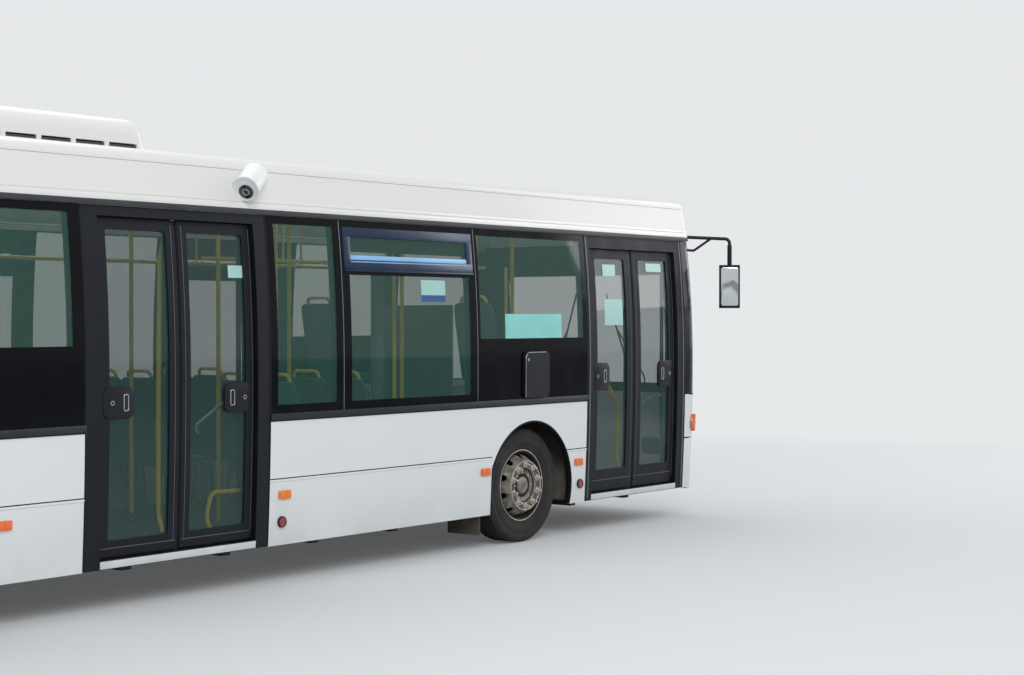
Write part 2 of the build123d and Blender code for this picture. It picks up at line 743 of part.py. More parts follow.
# Low floor from the steps to the front, with the anchor plate of the wheelchair bay
FLOOR_FRONT = CORNER_X - WALL
BAY_PLATE_AHEAD = 2355
BAY_PLATE_INSET = 525
BAY_PLATE_HALF = 150
BAY_PLATE_THICK = 6
with BuildPart() as low_floor:
    block(STEP_X, FLOOR_FRONT, -FLOOR_EDGE, FLOOR_EDGE, FLOOR_TOP - FLOOR_THICK, FLOOR_TOP)
    add(box_cuts(0, ROOF_TOP), mode=Mode.SUBTRACT)
    plate_x, plate_y = X_REAR_AXLE + BAY_PLATE_AHEAD, HALF - BAY_PLATE_INSET
    block(
        plate_x - BAY_PLATE_HALF,
        plate_x + BAY_PLATE_HALF,
        plate_y - BAY_PLATE_HALF,
        plate_y + BAY_PLATE_HALF,
        FLOOR_TOP,
        FLOOR_TOP + BAY_PLATE_THICK,
    )
finish(low_floor, "low_floor")

# Raised rear floor with two steps
RISE = (PLATFORM_TOP - FLOOR_TOP) / 3
TREAD = 300
PLATFORM_X = STEP_X - 2 * TREAD
SHEET = 30
PLATFORM_REAR = REAR_X - 90
with BuildPart() as rear_platform:
    block(PLATFORM_REAR, PLATFORM_X, -FLOOR_EDGE, FLOOR_EDGE, PLATFORM_TOP - SHEET, PLATFORM_TOP)
    for step in range(1, 3):
        front = STEP_X - (step - 1) * TREAD
        top = FLOOR_TOP + step * RISE
        block(front - TREAD, front, -FLOOR_EDGE, FLOOR_EDGE, top - SHEET, top)
    for step in range(3):
        front = STEP_X - step * TREAD
        top = FLOOR_TOP + (step + 1) * RISE
        block(front - SHEET, front, -FLOOR_EDGE, FLOOR_EDGE, top - RISE - SHEET, top)
    add(box_cuts(0, ROOF_TOP), mode=Mode.SUBTRACT)
finish(rear_platform, "rear_platform")

# Chassis frame: low rails with jacking pads, high rails at the rear, cross members and outriggers
RAIL_FRONT = CORNER_X - 100
RAIL_REAR = X_REAR + 150
CROSS_SIZE = 80
CROSS_DEPTH = 60
HIGH_CROSS_LIFT = 20
DROP_LENGTH = 120
DROP_X = PLATFORM_X - SHEET - DROP_LENGTH
OUTRIGGER_END = HALF - 125
ENGINE_LENGTH = 1150
ENGINE_FRONT = RAIL_REAR + 100 + ENGINE_LENGTH
REAR_CROSS_COUNT = 5
FIRST_CROSS = STEP_X + 395
LAST_CROSS = X_FRONT_AXLE - 750
CROSS_PITCH = (LAST_CROSS - FIRST_CROSS) / (REAR_CROSS_COUNT - 1)
LOW_CROSS = [
    *[FIRST_CROSS + n * CROSS_PITCH for n in range(REAR_CROSS_COUNT)],
    X_FRONT_AXLE + 750,
    X_FRONT_AXLE + 1600,
]
HIGH_CROSS = [X_REAR_AXLE + 500, X_REAR_AXLE - 500, ENGINE_FRONT + 60]
PAD_LENGTH = 160
PAD_THICK = 20
PADS = [DROP_X + 60, X_FRONT_AXLE - 1400]
RAIL_TOP = FLOOR_TOP - FLOOR_THICK
HIGH_TOP = PLATFORM_TOP - SHEET
with BuildPart() as chassis_frame:
    for side in (RIGHT, LEFT):
        y_low, y_high = side_span(side, RAIL_INNER, RAIL_OUTER)
        block(DROP_X + DROP_LENGTH + FIT, RAIL_FRONT, y_low, y_high, LOW_RAIL_BOTTOM, RAIL_TOP)
        block(RAIL_REAR, DROP_X - FIT, y_low, y_high, HIGH_RAIL_BOTTOM, HIGH_TOP)
        block(DROP_X, DROP_X + DROP_LENGTH, y_low, y_high, LOW_RAIL_BOTTOM, HIGH_TOP)
        for x in PADS:
            pad_bottom = LOW_RAIL_BOTTOM - PAD_THICK
            block(x - PAD_LENGTH / 2, x + PAD_LENGTH / 2, y_low, y_high, pad_bottom, LOW_RAIL_BOTTOM)
    for x in LOW_CROSS:
        for y_low, y_high in (
            (-OUTRIGGER_END, -RAIL_OUTER - FIT),
            (FIT - RAIL_INNER, RAIL_INNER - FIT),
            (RAIL_OUTER + FIT, OUTRIGGER_END),
        ):
            block(x, x + CROSS_SIZE, y_low, y_high, RAIL_TOP - CROSS_DEPTH, RAIL_TOP)
    for x in HIGH_CROSS:
        cross_bottom = HIGH_RAIL_BOTTOM + HIGH_CROSS_LIFT
        block(x, x + CROSS_SIZE, FIT - RAIL_INNER, RAIL_INNER - FIT, cross_bottom, HIGH_TOP)
finish(chassis_frame, "chassis_frame")

# Engine between the high rails
ENGINE_BOTTOM = 380
with BuildPart() as engine:
    block(ENGINE_FRONT - ENGINE_LENGTH, ENGINE_FRONT, -RAIL_INNER, RAIL_INNER, ENGINE_BOTTOM, HIGH_TOP)
finish(engine, "engine")

# Front axle: dropped beam with a boss round each kingpin
AXLE_BOTTOM = 125
BOSS_RADIUS = 48
BOSS_HALF = 75
BEAM_HALF_WIDTH = 60
ARM_INNER = KINGPIN_Y - 150
ARM_OUTER = ARM_INNER + 60
BRIDGE_HALF = 35
with BuildPart() as front_axle:
    block(
        X_FRONT_AXLE - BEAM_HALF_WIDTH,
        X_FRONT_AXLE + BEAM_HALF_WIDTH,
        -ARM_OUTER,
        ARM_OUTER,
        AXLE_BOTTOM,
        LOW_RAIL_BOTTOM,
    )
    for side in (RIGHT, LEFT):
        y_low, y_high = side_span(side, ARM_INNER, ARM_OUTER)
        block(
            X_FRONT_AXLE - BEAM_HALF_WIDTH,
            X_FRONT_AXLE + BEAM_HALF_WIDTH,
            y_low,
            y_high,
            AXLE_BOTTOM,
            TYRE_RADIUS + BOSS_HALF,
        )
        y_low, y_high = side_span(side, (ARM_INNER + ARM_OUTER) / 2, KINGPIN_Y)
        block(
            X_FRONT_AXLE - BRIDGE_HALF,
            X_FRONT_AXLE + BRIDGE_HALF,
            y_low,
            y_high,
            TYRE_RADIUS - BOSS_HALF,
            TYRE_RADIUS + BOSS_HALF,
        )
        with Locations((X_FRONT_AXLE, side * KINGPIN_Y, TYRE_RADIUS)):
            Cylinder(BOSS_RADIUS, 2 * BOSS_HALF)
            Cylinder(KINGPIN_RADIUS, 2 * BOSS_HALF, mode=Mode.SUBTRACT)
finish(front_axle, "front_axle")

# Steering knuckles: a fork round the boss, the kingpin, and the wheel's spindle
FORK_RADIUS = 45
FORK_HALF = 115
FORK_GAP = 2
FORK_ARM_HALF = 40
WEB_Y = KINGPIN_Y + 65
WEB_HALF_THICK = 12
WEB_HALF_WIDTH = 60
SPINDLE_END = HALF - 110


def knuckle(side):
    """The piece that turns on the kingpin and carries a front wheel."""
    with BuildPart() as piece:
        with Locations((X_FRONT_AXLE, side * KINGPIN_Y, TYRE_RADIUS)):
            Cylinder(KINGPIN_RADIUS - BEARING_GAP, 2 * FORK_HALF)
        for z_low, z_high in (
            (TYRE_RADIUS - FORK_HALF, TYRE_RADIUS - BOSS_HALF - FORK_GAP),
            (TYRE_RADIUS + BOSS_HALF + FORK_GAP, TYRE_RADIUS + FORK_HALF),
        ):
            with Locations((X_FRONT_AXLE, side * KINGPIN_Y, (z_low + z_high) / 2)):
                Cylinder(FORK_RADIUS, z_high - z_low)
            y_low, y_high = side_span(side, KINGPIN_Y, WEB_Y)
            x_low, x_high = X_FRONT_AXLE - FORK_ARM_HALF, X_FRONT_AXLE + FORK_ARM_HALF
            block(x_low, x_high, y_low, y_high, z_low, z_high)
        y_low, y_high = side_span(side, WEB_Y - WEB_HALF_THICK, WEB_Y + WEB_HALF_THICK)
        block(
            X_FRONT_AXLE - WEB_HALF_WIDTH,
            X_FRONT_AXLE + WEB_HALF_WIDTH,
            y_low,
            y_high,
            TYRE_RADIUS - FORK_HALF,
            TYRE_RADIUS + FORK_HALF,
        )
        with Locations((X_FRONT_AXLE, side * (WEB_Y + SPINDLE_END) / 2, TYRE_RADIUS)):
            Cylinder(SPINDLE_RADIUS, SPINDLE_END - WEB_Y, rotation=(90, 0, 0))
    return piece


finish(knuckle(RIGHT), "right_knuckle")
finish(knuckle(LEFT), "left_knuckle")

# Rear axle: tube with its final drive, flanges and bearing ends
AXLE_TUBE_RADIUS = 75
DRIVE_RADIUS = 190
DRIVE_SIDE = 60
TUBE_END = TRACK_HALF - TWIN_SPACING - 160
AXLE_PAD_HALF = 90
with BuildPart() as rear_axle:
    with Locations((X_REAR_AXLE, 0, TYRE_RADIUS)):
        Cylinder(AXLE_TUBE_RADIUS, 2 * TUBE_END, rotation=(90, 0, 0))
        Cylinder(SPINDLE_RADIUS, 2 * SPINDLE_END, rotation=(90, 0, 0))
    with Locations((X_REAR_AXLE, DRIVE_SIDE, TYRE_RADIUS)):
        Sphere(DRIVE_RADIUS)
    for side in (RIGHT, LEFT):
        y_low, y_high = side_span(side, RAIL_INNER, RAIL_OUTER)
        x_low, x_high = X_REAR_AXLE - AXLE_PAD_HALF, X_REAR_AXLE + AXLE_PAD_HALF
        block(x_low, x_high, y_low, y_high, TYRE_RADIUS, HIGH_RAIL_BOTTOM)
finish(rear_axle, "rear_axle")


# Tyre section: steps in from its outer radius and its full width
BEAD_GAP = 2
FLANGE_RISE = 1
BULGE_RADIUS = 385
SHOULDER_DROP, SHOULDER_INSET = 28, 18
EDGE_DROP, EDGE_INSET = 9, 27
TREAD_INSET = 47


def tyre_ring(x_axle, y_middle):
    """One tyre, turned about its axle."""
    half = TYRE_WIDTH / 2
    bead = RIM_LIP_RADIUS - RIM_SEAT_DROP + FIT
    bead_half = RIM_HALF - RIM_LIP_THICK - BEAD_GAP
    flange_half = RIM_HALF - BEAD_GAP
    with BuildPart() as piece:
        with BuildSketch(Plane(origin=(x_axle, y_middle, TYRE_RADIUS), x_dir=(0, 1, 0), z_dir=(1, 0, 0))):
            with BuildLine():
                Line((-bead_half, bead), (bead_half, bead))
                for sign in (1, -1):
                    flange = (sign * flange_half, RIM_LIP_RADIUS + FLANGE_RISE)
                    shoulder = (sign * (half - SHOULDER_INSET), TYRE_RADIUS - SHOULDER_DROP)
                    edge = (sign * (half - EDGE_INSET), TYRE_RADIUS - EDGE_DROP)
                    Line((sign * bead_half, bead), flange)
                    ThreePointArc(flange, (sign * half, BULGE_RADIUS), shoulder)
                    ThreePointArc(shoulder, edge, (sign * (half - TREAD_INSET), TYRE_RADIUS))
                Line((half - TREAD_INSET, TYRE_RADIUS), (TREAD_INSET - half, TYRE_RADIUS))
            make_face()
        revolve(axis=Axis((x_axle, 0, TYRE_RADIUS), (0, 1, 0)), revolution_arc=360)
    return piece.part


# Rim section, outward from the tyre's middle. Columns: outward, radius
RIM_BARREL = [
    (RIM_HALF, RIM_LIP_RADIUS),
    (RIM_HALF, 276),
    (70, 268),
    (-70, 268),
    (-RIM_HALF, 276),
    (-RIM_HALF, RIM_LIP_RADIUS),
    (-RIM_HALF + RIM_LIP_THICK, RIM_LIP_RADIUS - RIM_SEAT_DROP),
    (RIM_HALF - RIM_LIP_THICK, RIM_LIP_RADIUS - RIM_SEAT_DROP),
]


def rim_ring(x_axle, y_middle, side, disc):
    """One rim: its barrel and a disc whose section is a list of outward and radius."""
    bore = SPINDLE_RADIUS + BEARING_GAP
    with BuildPart() as piece:
        plane = Plane(origin=(x_axle, y_middle, TYRE_RADIUS), x_dir=(0, side, 0), z_dir=(side, 0, 0))
        with BuildSketch(plane):
            with BuildLine():
                Polyline(*RIM_BARREL, RIM_BARREL[0])
            make_face()
            with BuildLine():
                Polyline(*disc, disc[0])
            make_face()
        revolve(axis=Axis((x_axle, 0, TYRE_RADIUS), (0, 1, 0)), revolution_arc=360)
        with Locations((x_axle, y_middle, TYRE_RADIUS)):
            Cylinder(bore, 2 * TYRE_WIDTH, rotation=(90, 0, 0), mode=Mode.SUBTRACT)
    return piece.part


# Disc sections, outward from the tyre's middle. Columns: outward, radius
FRONT_DISC = [
    (62, 270),
    (143, 210),
    (158, 205),
    (158, 150),
    (125, 140),
    (125, 0),
    (0, 0),
    (0, 80),
    (110, 88),
    (110, 152),
    (140, 160),
    (128, 205),
    (46, 270),
]
TWIN_FACE = -TWIN_SPACING / 2
REAR_DISC = [
    (-50, 270),
    (TWIN_FACE + 12, 205),
    (TWIN_FACE + 12, 130),
    (-20, 110),
    (-20, 0),
    (TWIN_FACE, 0),
    (TWIN_FACE, 212),
    (-66, 270),
]

for side, side_name in ((RIGHT, "right"), (LEFT, "left")):
    with BuildPart() as tyre:
        add(tyre_ring(X_FRONT_AXLE, side * TRACK_HALF))
    finish(tyre, f"front_{side_name}_tyre")
    with BuildPart() as rim:
        add(rim_ring(X_FRONT_AXLE, side * TRACK_HALF, side, FRONT_DISC))
    finish(rim, f"front_{side_name}_rim")
    with BuildPart() as twin_tyres:
        add(tyre_ring(X_REAR_AXLE, side * TRACK_HALF))
        add(tyre_ring(X_REAR_AXLE, side * (TRACK_HALF - TWIN_SPACING)))
    finish(twin_tyres, f"rear_{side_name}_tyres")
    with BuildPart() as twin_rims:
        add(rim_ring(X_REAR_AXLE, side * TRACK_HALF, side, REAR_DISC))
        add(rim_ring(X_REAR_AXLE, side * (TRACK_HALF - TWIN_SPACING), -side, REAR_DISC))
    finish(twin_rims, f"rear_{side_name}_rims")

# Seats: pairs on a stand, on both sides; as many rows at the rear as there is room for
SEAT_PITCH = 750
BOX_SEAT_PITCH = 650
SEAT_RISE = 430
BOX_SEAT_RISE = 300
SEAT_INNER = 330
BOX_SEAT_INNER = 620
SEAT_OUTER = HALF - 125
KNEE_ROOM = 500
LAST_ROW = REAR_X + 1020
REAR_ROWS = int((X_REAR_AXLE - REAR_BOX_HALF - KNEE_ROOM - LAST_ROW) // SEAT_PITCH) + 1
FIRST_LOW_ROW = X_FRONT_AXLE - 2150
FIRST_BOX_ROW = X_REAR_AXLE + 560
FRONT_BOX_ROW = X_FRONT_AXLE + 250
# Columns: front of the cushion, floor, cushion's rise, inner end
SEATS = [
    *[(FIRST_LOW_ROW + n * SEAT_PITCH, FLOOR_TOP, SEAT_RISE, SEAT_INNER) for n in range(2)],
    *[(FIRST_BOX_ROW - n * BOX_SEAT_PITCH, BOX_TOP, BOX_SEAT_RISE, BOX_SEAT_INNER) for n in range(2)],
    *[(LAST_ROW + n * SEAT_PITCH, PLATFORM_TOP, SEAT_RISE, SEAT_INNER) for n in range(REAR_ROWS)],
    (FRONT_BOX_ROW, BOX_TOP, BOX_SEAT_RISE, BOX_SEAT_INNER),
]
STAND_FRONT = 60
STAND_REAR = 300
CUSHION_LENGTH = 370
CUSHION_THICK = 70
CUSHION_DROP = 20
BACK_RISE = 640
BACK_LEAN = 120
BACK_THICK = 60
BACK_FOOT = 40


def seat_outline(x_front, floor, cushion):
    """A seat and its stand seen from the side."""
    under = cushion - CUSHION_THICK
    back = x_front - CUSHION_LENGTH
    with BuildSketch() as outline:
        with BuildLine():
            Polyline(
                (x_front - STAND_FRONT, floor + FIT),
                (x_front - STAND_FRONT, under),
                (x_front, under),
                (x_front, cushion),
                (back, cushion - CUSHION_DROP),
                (back - BACK_LEAN, cushion + BACK_RISE),
                (back - BACK_LEAN - BACK_THICK, cushion + BACK_RISE),
                (back - BACK_FOOT, under - CUSHION_DROP),
                (x_front - STAND_REAR, under - CUSHION_DROP),
                (x_front - STAND_REAR, floor + FIT),
                (x_front - STAND_FRONT, floor + FIT),
            )
        make_face()
    return outline.sketch


with BuildPart() as seats:
    for x_front, floor, rise, inner in SEATS:
        for side in (RIGHT, LEFT):
            y_low, y_high = side_span(side, inner, SEAT_OUTER)
            with BuildSketch(Plane.XZ.offset(-y_high)):
                add(seat_outline(x_front, floor, floor + rise))
            extrude(amount=y_high - y_low)
finish(seats, "seats")

# Driver's place: seat, dashboard, steering wheel and partition, on the left ahead of the wheel box
DRIVER_Y = HALF - 635
DRIVER_X = X_FRONT_AXLE + 1250
# Stand, cushion and back. Columns: rear and front end from the seat's middle, half width, bottom, top
DRIVER_SEAT = [
    (-200, 150, 180, FLOOR_TOP, 760),
    (-250, 230, 240, 760, 880),
    (-330, -220, 240, 860, 1560),
]
with BuildPart() as driver_seat:
    for rear, front, half, z_low, z_high in DRIVER_SEAT:
        block(DRIVER_X + rear, DRIVER_X + front, DRIVER_Y - half, DRIVER_Y + half, z_low, z_high)
finish(driver_seat, "driver_seat")

DASH_OUTER = HALF - 155
DASH_WIDTH = 1020
DASH_REAR = FLOOR_FRONT - 420
DASH_LIP = FLOOR_FRONT - 520
DASH_SHELF = FLOOR_FRONT - 300
DASH_KNEE_TOP = 950
DASH_LIP_Z = 1010
DASH_TOP = 1150
with BuildPart() as dashboard:
    with BuildSketch(Plane.XZ.offset(-DASH_OUTER)):
        with BuildLine():
            Polyline(
                (DASH_REAR, FLOOR_TOP),
                (DASH_REAR, DASH_KNEE_TOP),
                (DASH_LIP, DASH_LIP_Z),
                (DASH_SHELF, DASH_TOP),
                (FLOOR_FRONT, DASH_TOP),
                (FLOOR_FRONT, FLOOR_TOP),
                (DASH_REAR, FLOOR_TOP),
            )
        make_face()
    extrude(amount=DASH_WIDTH)
finish(dashboard, "dashboard")

STEERING_X = FLOOR_FRONT - 560
STEERING_Z = 1080
STEERING_RADIUS = 230
STEERING_RIM = 30
STEERING_THICK = 24
SPOKE_WIDTH = 40
SPOKE_INSET = 20
HUB_RADIUS = 60
COLUMN_RADIUS = 30
COLUMN_LENGTH = 160
COLUMN_DIRECTION = (-0.42, 0, 0.9)
COLUMN_PLANE = Plane(origin=(STEERING_X, DRIVER_Y, STEERING_Z), x_dir=(0, 1, 0), z_dir=COLUMN_DIRECTION)
with BuildPart() as steering_wheel:
    with BuildSketch(COLUMN_PLANE):
        Circle(STEERING_RADIUS)
        Circle(STEERING_RADIUS - STEERING_RIM, mode=Mode.SUBTRACT)
        Rectangle(2 * (STEERING_RADIUS - SPOKE_INSET), SPOKE_WIDTH)
        Circle(HUB_RADIUS)
    extrude(amount=STEERING_THICK)
    with BuildSketch(COLUMN_PLANE):
        Circle(COLUMN_RADIUS)
    extrude(amount=-COLUMN_LENGTH)
    add(dashboard.part, mode=Mode.SUBTRACT)
finish(steering_wheel, "steering_wheel")

PARTITION_X = DRIVER_X - 420
PARTITION_THICK = 30
PARTITION_TOP = 2000
PARTITION_INNER = DRIVER_Y - 390
PARTITION_OUTER = HALF - 125
SCREEN_DOOR_LENGTH = 690
SCREEN_DOOR_THICK = 25
SCREEN_DOOR_TOP = 1250
with BuildPart() as driver_partition:
    wall_front = PARTITION_X + PARTITION_THICK
    block(PARTITION_X, wall_front, PARTITION_INNER, PARTITION_OUTER, FLOOR_TOP, PARTITION_TOP)
    door_outer = PARTITION_INNER + SCREEN_DOOR_THICK
    door_front = wall_front + SCREEN_DOOR_LENGTH
    block(wall_front, door_front, PARTITION_INNER, door_outer, FLOOR_TOP, SCREEN_DOOR_TOP)
finish(driver_partition, "driver_partition")

# Upright grab poles from floor to ceiling. Columns: x, y, foot height
POLE_RADIUS = 17
POLES = [
    (X_FRONT_AXLE - 2800, -480, FLOOR_TOP),
    (X_FRONT_AXLE - 2800, 480, FLOOR_TOP),
    (X_FRONT_AXLE - 2020, -300, FLOOR_TOP),
    (X_FRONT_AXLE - 1250, 300, FLOOR_TOP),
    (X_FRONT_AXLE - 720, -480, FLOOR_TOP),
    (X_FRONT_AXLE + 800, -480, FLOOR_TOP),
    (X_REAR_AXLE + 1180, -480, FLOOR_TOP + RISE),
    (X_REAR_AXLE - 700, -400, PLATFORM_TOP),
    (X_REAR_AXLE - 700, 400, PLATFORM_TOP),
    (LAST_ROW, -290, PLATFORM_TOP),
]
with BuildPart() as grab_poles:
    for x, y, foot in POLES:
        with Locations((x, y, (foot + CEILING) / 2)):
            Cylinder(POLE_RADIUS, CEILING - foot)
finish(grab_poles, "grab_poles")

# Mirrors: bracket on the front, two-tube arm, upright stem and a head turned in
MIRROR_TIP = X_FRONT + MIRROR_REACH
ARM_RADIUS = 16
ARM_BEND = 45
BRACE_RADIUS = 12
BRACE_BEND = 30
BRACE_SHARE = 0.33
JOINT_SHARE = 0.66
BRACE_DROP = 15
STEM_RADIUS = 22
STEM_OVERLAP = 60
ARM_TOP = BAND_TOP + 35
ARM_FOOT = BAND_TOP + 60
BRACE_FOOT = BAND_TOP - 60
MIRROR_X = MIRROR_TIP - 82
MIRROR_Y = HALF + 167
MIRROR_TOP = ARM_TOP - 250
MIRROR_HEIGHT = 415
MIRROR_WIDTH = 200
MIRROR_DEPTH = 100
MIRROR_ROUND = 38
MIRROR_TURN = 33
BRACKET_Y = HALF - 275
BRACKET_HALF = 45
BRACKET_OUT = 70
BRACKET_MARGIN = 25
SCREEN_SAG = BRACKET_Y**2 / (2 * FRONT_BOW)
BRACKET_X = X_FRONT - UPPER_LEAN - SCREEN_SAG


def between(first, second, share):
    """The point a share of the way from one point to another."""
    return tuple(a + share * (b - a) for a, b in zip(first, second))


with BuildPart() as mirrors:
    for side in (RIGHT, LEFT):
        y_low, y_high = side_span(side, BRACKET_Y - BRACKET_HALF, BRACKET_Y + BRACKET_HALF)
        z_low, z_high = BRACE_FOOT - BRACKET_MARGIN, ARM_FOOT + BRACKET_MARGIN
        block(BRACKET_X - WALL, BRACKET_X + BRACKET_OUT, y_low, y_high, z_low, z_high)
        x_foot, y_foot, y_head = BRACKET_X + BRACKET_OUT - ARM_RADIUS, side * BRACKET_Y, side * MIRROR_Y
        arm_foot = (x_foot, y_foot, ARM_FOOT)
        elbow = (MIRROR_X, y_head, ARM_TOP)
        brace_z = BRACE_FOOT - BRACE_DROP
        brace_bend = between((x_foot, y_foot, brace_z), (MIRROR_X, y_head, brace_z), BRACE_SHARE)
        # Columns: tube radius, bend radius, points
        tubes = [
            (ARM_RADIUS, ARM_BEND, [arm_foot, elbow, (MIRROR_X, y_head, MIRROR_TOP - STEM_OVERLAP)]),
            (
                BRACE_RADIUS,
                BRACE_BEND,
                [(x_foot, y_foot, BRACE_FOOT), brace_bend, between(arm_foot, elbow, JOINT_SHARE)],
            ),
        ]
        for tube_radius, bend_radius, points in tubes:
            with BuildLine() as arm:
                FilletPolyline(*points, radius=bend_radius)
            with BuildSketch(Plane(origin=arm.line @ 0, z_dir=arm.line % 0)):
                Circle(tube_radius)
            sweep(path=arm.line)
        with Locations((MIRROR_X, y_head, (MIRROR_TOP + ARM_TOP) / 2 - STEM_OVERLAP)):
            Cylinder(STEM_RADIUS, ARM_TOP - MIRROR_TOP)
        with BuildSketch(Plane.XY.offset(MIRROR_TOP - MIRROR_HEIGHT)):
            with Locations(Location((MIRROR_X, y_head), -side * MIRROR_TURN)):
                RectangleRounded(MIRROR_DEPTH, MIRROR_WIDTH, MIRROR_ROUND)
        extrude(amount=MIRROR_HEIGHT)
    add(front_run(roof_profile(FRONT_CORNER), roof_profile(ROOF_PLATE_DEPTH)), mode=Mode.SUBTRACT)
    add(front_part(WAIST, BAND_TOP, FIT, -WALL), mode=Mode.SUBTRACT)
finish(mirrors, "mirrors")

# Orange side lamps, at the same places on both sides
LAMP_X = [X_REAR_AXLE + 688, MIDDLE_PORTAL_FRONT + 152, X_FRONT_AXLE - 591, X_FRONT_AXLE + 724]
LAMP_Z = 632
SIDE_LAMP_LENGTH = 120
SIDE_LAMP_HEIGHT = 60
SIDE_LAMP_DEPTH = 12
SIDE_LAMP_CORNER = 12
LENS_ROOT = 2
SKIN_CUT = wall_profile(SKIRT_BOTTOM, SKIRT_TOP, FIT, -WALL)
with BuildPart() as side_lamps:
    for side in (RIGHT, LEFT):
        y_skin = HALF + skin(LAMP_Z)
        y_low, y_high = side_span(side, y_skin - LENS_ROOT, y_skin + SIDE_LAMP_DEPTH)
        for x in LAMP_X:
            lamp = opening(
                x - SIDE_LAMP_LENGTH / 2,
                x + SIDE_LAMP_LENGTH / 2,
                y_low,
                y_high,
                LAMP_Z - SIDE_LAMP_HEIGHT / 2,
                LAMP_Z + SIDE_LAMP_HEIGHT / 2,
                SIDE_LAMP_CORNER,
            )
            add(lamp)
        add(side_run(side, X_REAR, X_FRONT, SKIN_CUT), mode=Mode.SUBTRACT)
finish(side_lamps, "side_lamps")

# Round red markers below them
MARKER_X = [MIDDLE_PORTAL_FRONT + 131, X_FRONT_AXLE + 754]
MARKER_Z = 440
MARKER_RADIUS = 33
MARKER_DEPTH = 14
with BuildPart() as round_markers:
    for side in (RIGHT, LEFT):
        for x in MARKER_X:
            y_skin = HALF + skin(MARKER_Z)
            with Locations((x, side * (y_skin + (MARKER_DEPTH - LENS_ROOT) / 2), MARKER_Z)):
                Cylinder(MARKER_RADIUS, MARKER_DEPTH + LENS_ROOT, rotation=(90, 0, 0))
        add(side_run(side, X_REAR, X_FRONT, SKIN_CUT), mode=Mode.SUBTRACT)
finish(round_markers, "round_markers")

# Orange indicators bulging from the front corners
INDICATOR_BOTTOM = 806
INDICATOR_TOP = 966
INDICATOR_OUT = 34
INDICATOR_REAR = CORNER_X + 60
INDICATOR_INNER = HALF - 75
with BuildPart() as front_indicators:
    add(front_part(INDICATOR_BOTTOM, INDICATOR_TOP, INDICATOR_OUT, FIT))
    for side in (RIGHT, LEFT):
        y_low, y_high = side_span(side, 0, HALF + WALL)
        block(0, INDICATOR_REAR, y_low, y_high, 0, ROOF_TOP, mode=Mode.SUBTRACT)
    block(CORNER_X, X_FRONT + WALL, -INDICATOR_INNER, INDICATOR_INNER, 0, ROOF_TOP, mode=Mode.SUBTRACT)
finish(front_indicators, "front_indicators")

# Rounded box on the outside of the glass over the front wheel
FLAP_X = (X_FRONT_AXLE - 103, X_FRONT_AXLE + 237)
FLAP_BOTTOM = 1214
FLAP_TOP = 1600
FLAP_OUT = 28
FLAP_ROUND = 45
with BuildPart() as side_flap:
    plate = wall_profile(FLAP_BOTTOM - WALL, FLAP_TOP + WALL, FLAP_OUT, FIT)
    add(side_run(RIGHT, FLAP_X[0] - WALL, FLAP_X[1] + WALL, plate))
    cover = opening(*FLAP_X, -HALF - WALL, WALL - HALF, FLAP_BOTTOM, FLAP_TOP, FLAP_ROUND)
    add(cover, mode=Mode.INTERSECT)
finish(side_flap, "side_flap")

# Camera housing on the cove over the middle door: a dome drawn out into a barrel
CAMERA_X = MIDDLE_PORTAL_FRONT - 85
CAMERA_INSET = 70
CAMERA_Z = COVE_TOP - 40
CAMERA_RADIUS = 95
BARREL = (-155, -70, -100)
with BuildPart() as camera_housing:
    dome = (CAMERA_X, CAMERA_INSET - HALF, CAMERA_Z)
    with Locations(dome):
        Sphere(CAMERA_RADIUS)
    with BuildSketch(Plane(origin=dome, z_dir=BARREL)):
        Circle(CAMERA_RADIUS)
    extrude(amount=Vector(*BARREL).length)
    add(side_run(RIGHT, X_REAR, X_FRONT, roof_profile(HALF)), mode=Mode.SUBTRACT)
finish(camera_housing, "camera_housing")
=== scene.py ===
import math

import bmesh
import bpy
from mathutils import Matrix, Vector


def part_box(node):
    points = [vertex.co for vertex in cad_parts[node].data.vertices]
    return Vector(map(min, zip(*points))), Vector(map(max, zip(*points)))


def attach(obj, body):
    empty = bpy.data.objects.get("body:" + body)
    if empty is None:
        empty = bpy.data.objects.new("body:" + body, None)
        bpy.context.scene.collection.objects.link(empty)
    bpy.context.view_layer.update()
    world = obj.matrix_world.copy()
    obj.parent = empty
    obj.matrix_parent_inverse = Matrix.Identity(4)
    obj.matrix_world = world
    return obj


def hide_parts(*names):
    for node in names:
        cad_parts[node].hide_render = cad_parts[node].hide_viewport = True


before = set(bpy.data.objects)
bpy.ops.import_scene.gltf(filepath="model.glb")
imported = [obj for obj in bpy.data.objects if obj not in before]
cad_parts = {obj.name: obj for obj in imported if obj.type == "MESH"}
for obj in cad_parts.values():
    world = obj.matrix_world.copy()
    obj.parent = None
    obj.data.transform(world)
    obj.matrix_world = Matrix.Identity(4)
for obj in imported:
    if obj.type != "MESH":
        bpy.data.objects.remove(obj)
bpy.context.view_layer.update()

# Places read from the frame, in metres
RIGHT, LEFT = -1, 1
tyre_low, tyre_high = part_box("front_right_tyre")
AXLE_X = (tyre_low[0] + tyre_high[0]) / 2
TYRE_RADIUS = (tyre_high[2] - tyre_low[2]) / 2
TYRE_Y = -(tyre_low[1] + tyre_high[1]) / 2
twin_low, twin_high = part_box("rear_right_tyres")
REAR_AXLE_X = (twin_low[0] + twin_high[0]) / 2
TWIN_MIDDLE_Y = (twin_low[1] + twin_high[1]) / 2
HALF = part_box("windscreen")[1][1]
X_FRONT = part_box("front_panel")[1][0]
X_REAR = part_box("rear_panel")[0][0]
CORNER_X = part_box("skirts")[1][0]
REAR_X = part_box("side_panels")[0][0]
SKIRT_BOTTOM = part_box("skirts")[0][2]
SEAM_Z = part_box("skirts")[1][2]
WAIST_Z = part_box("side_panels")[1][2]
BAND_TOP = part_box("right_band")[1][2]
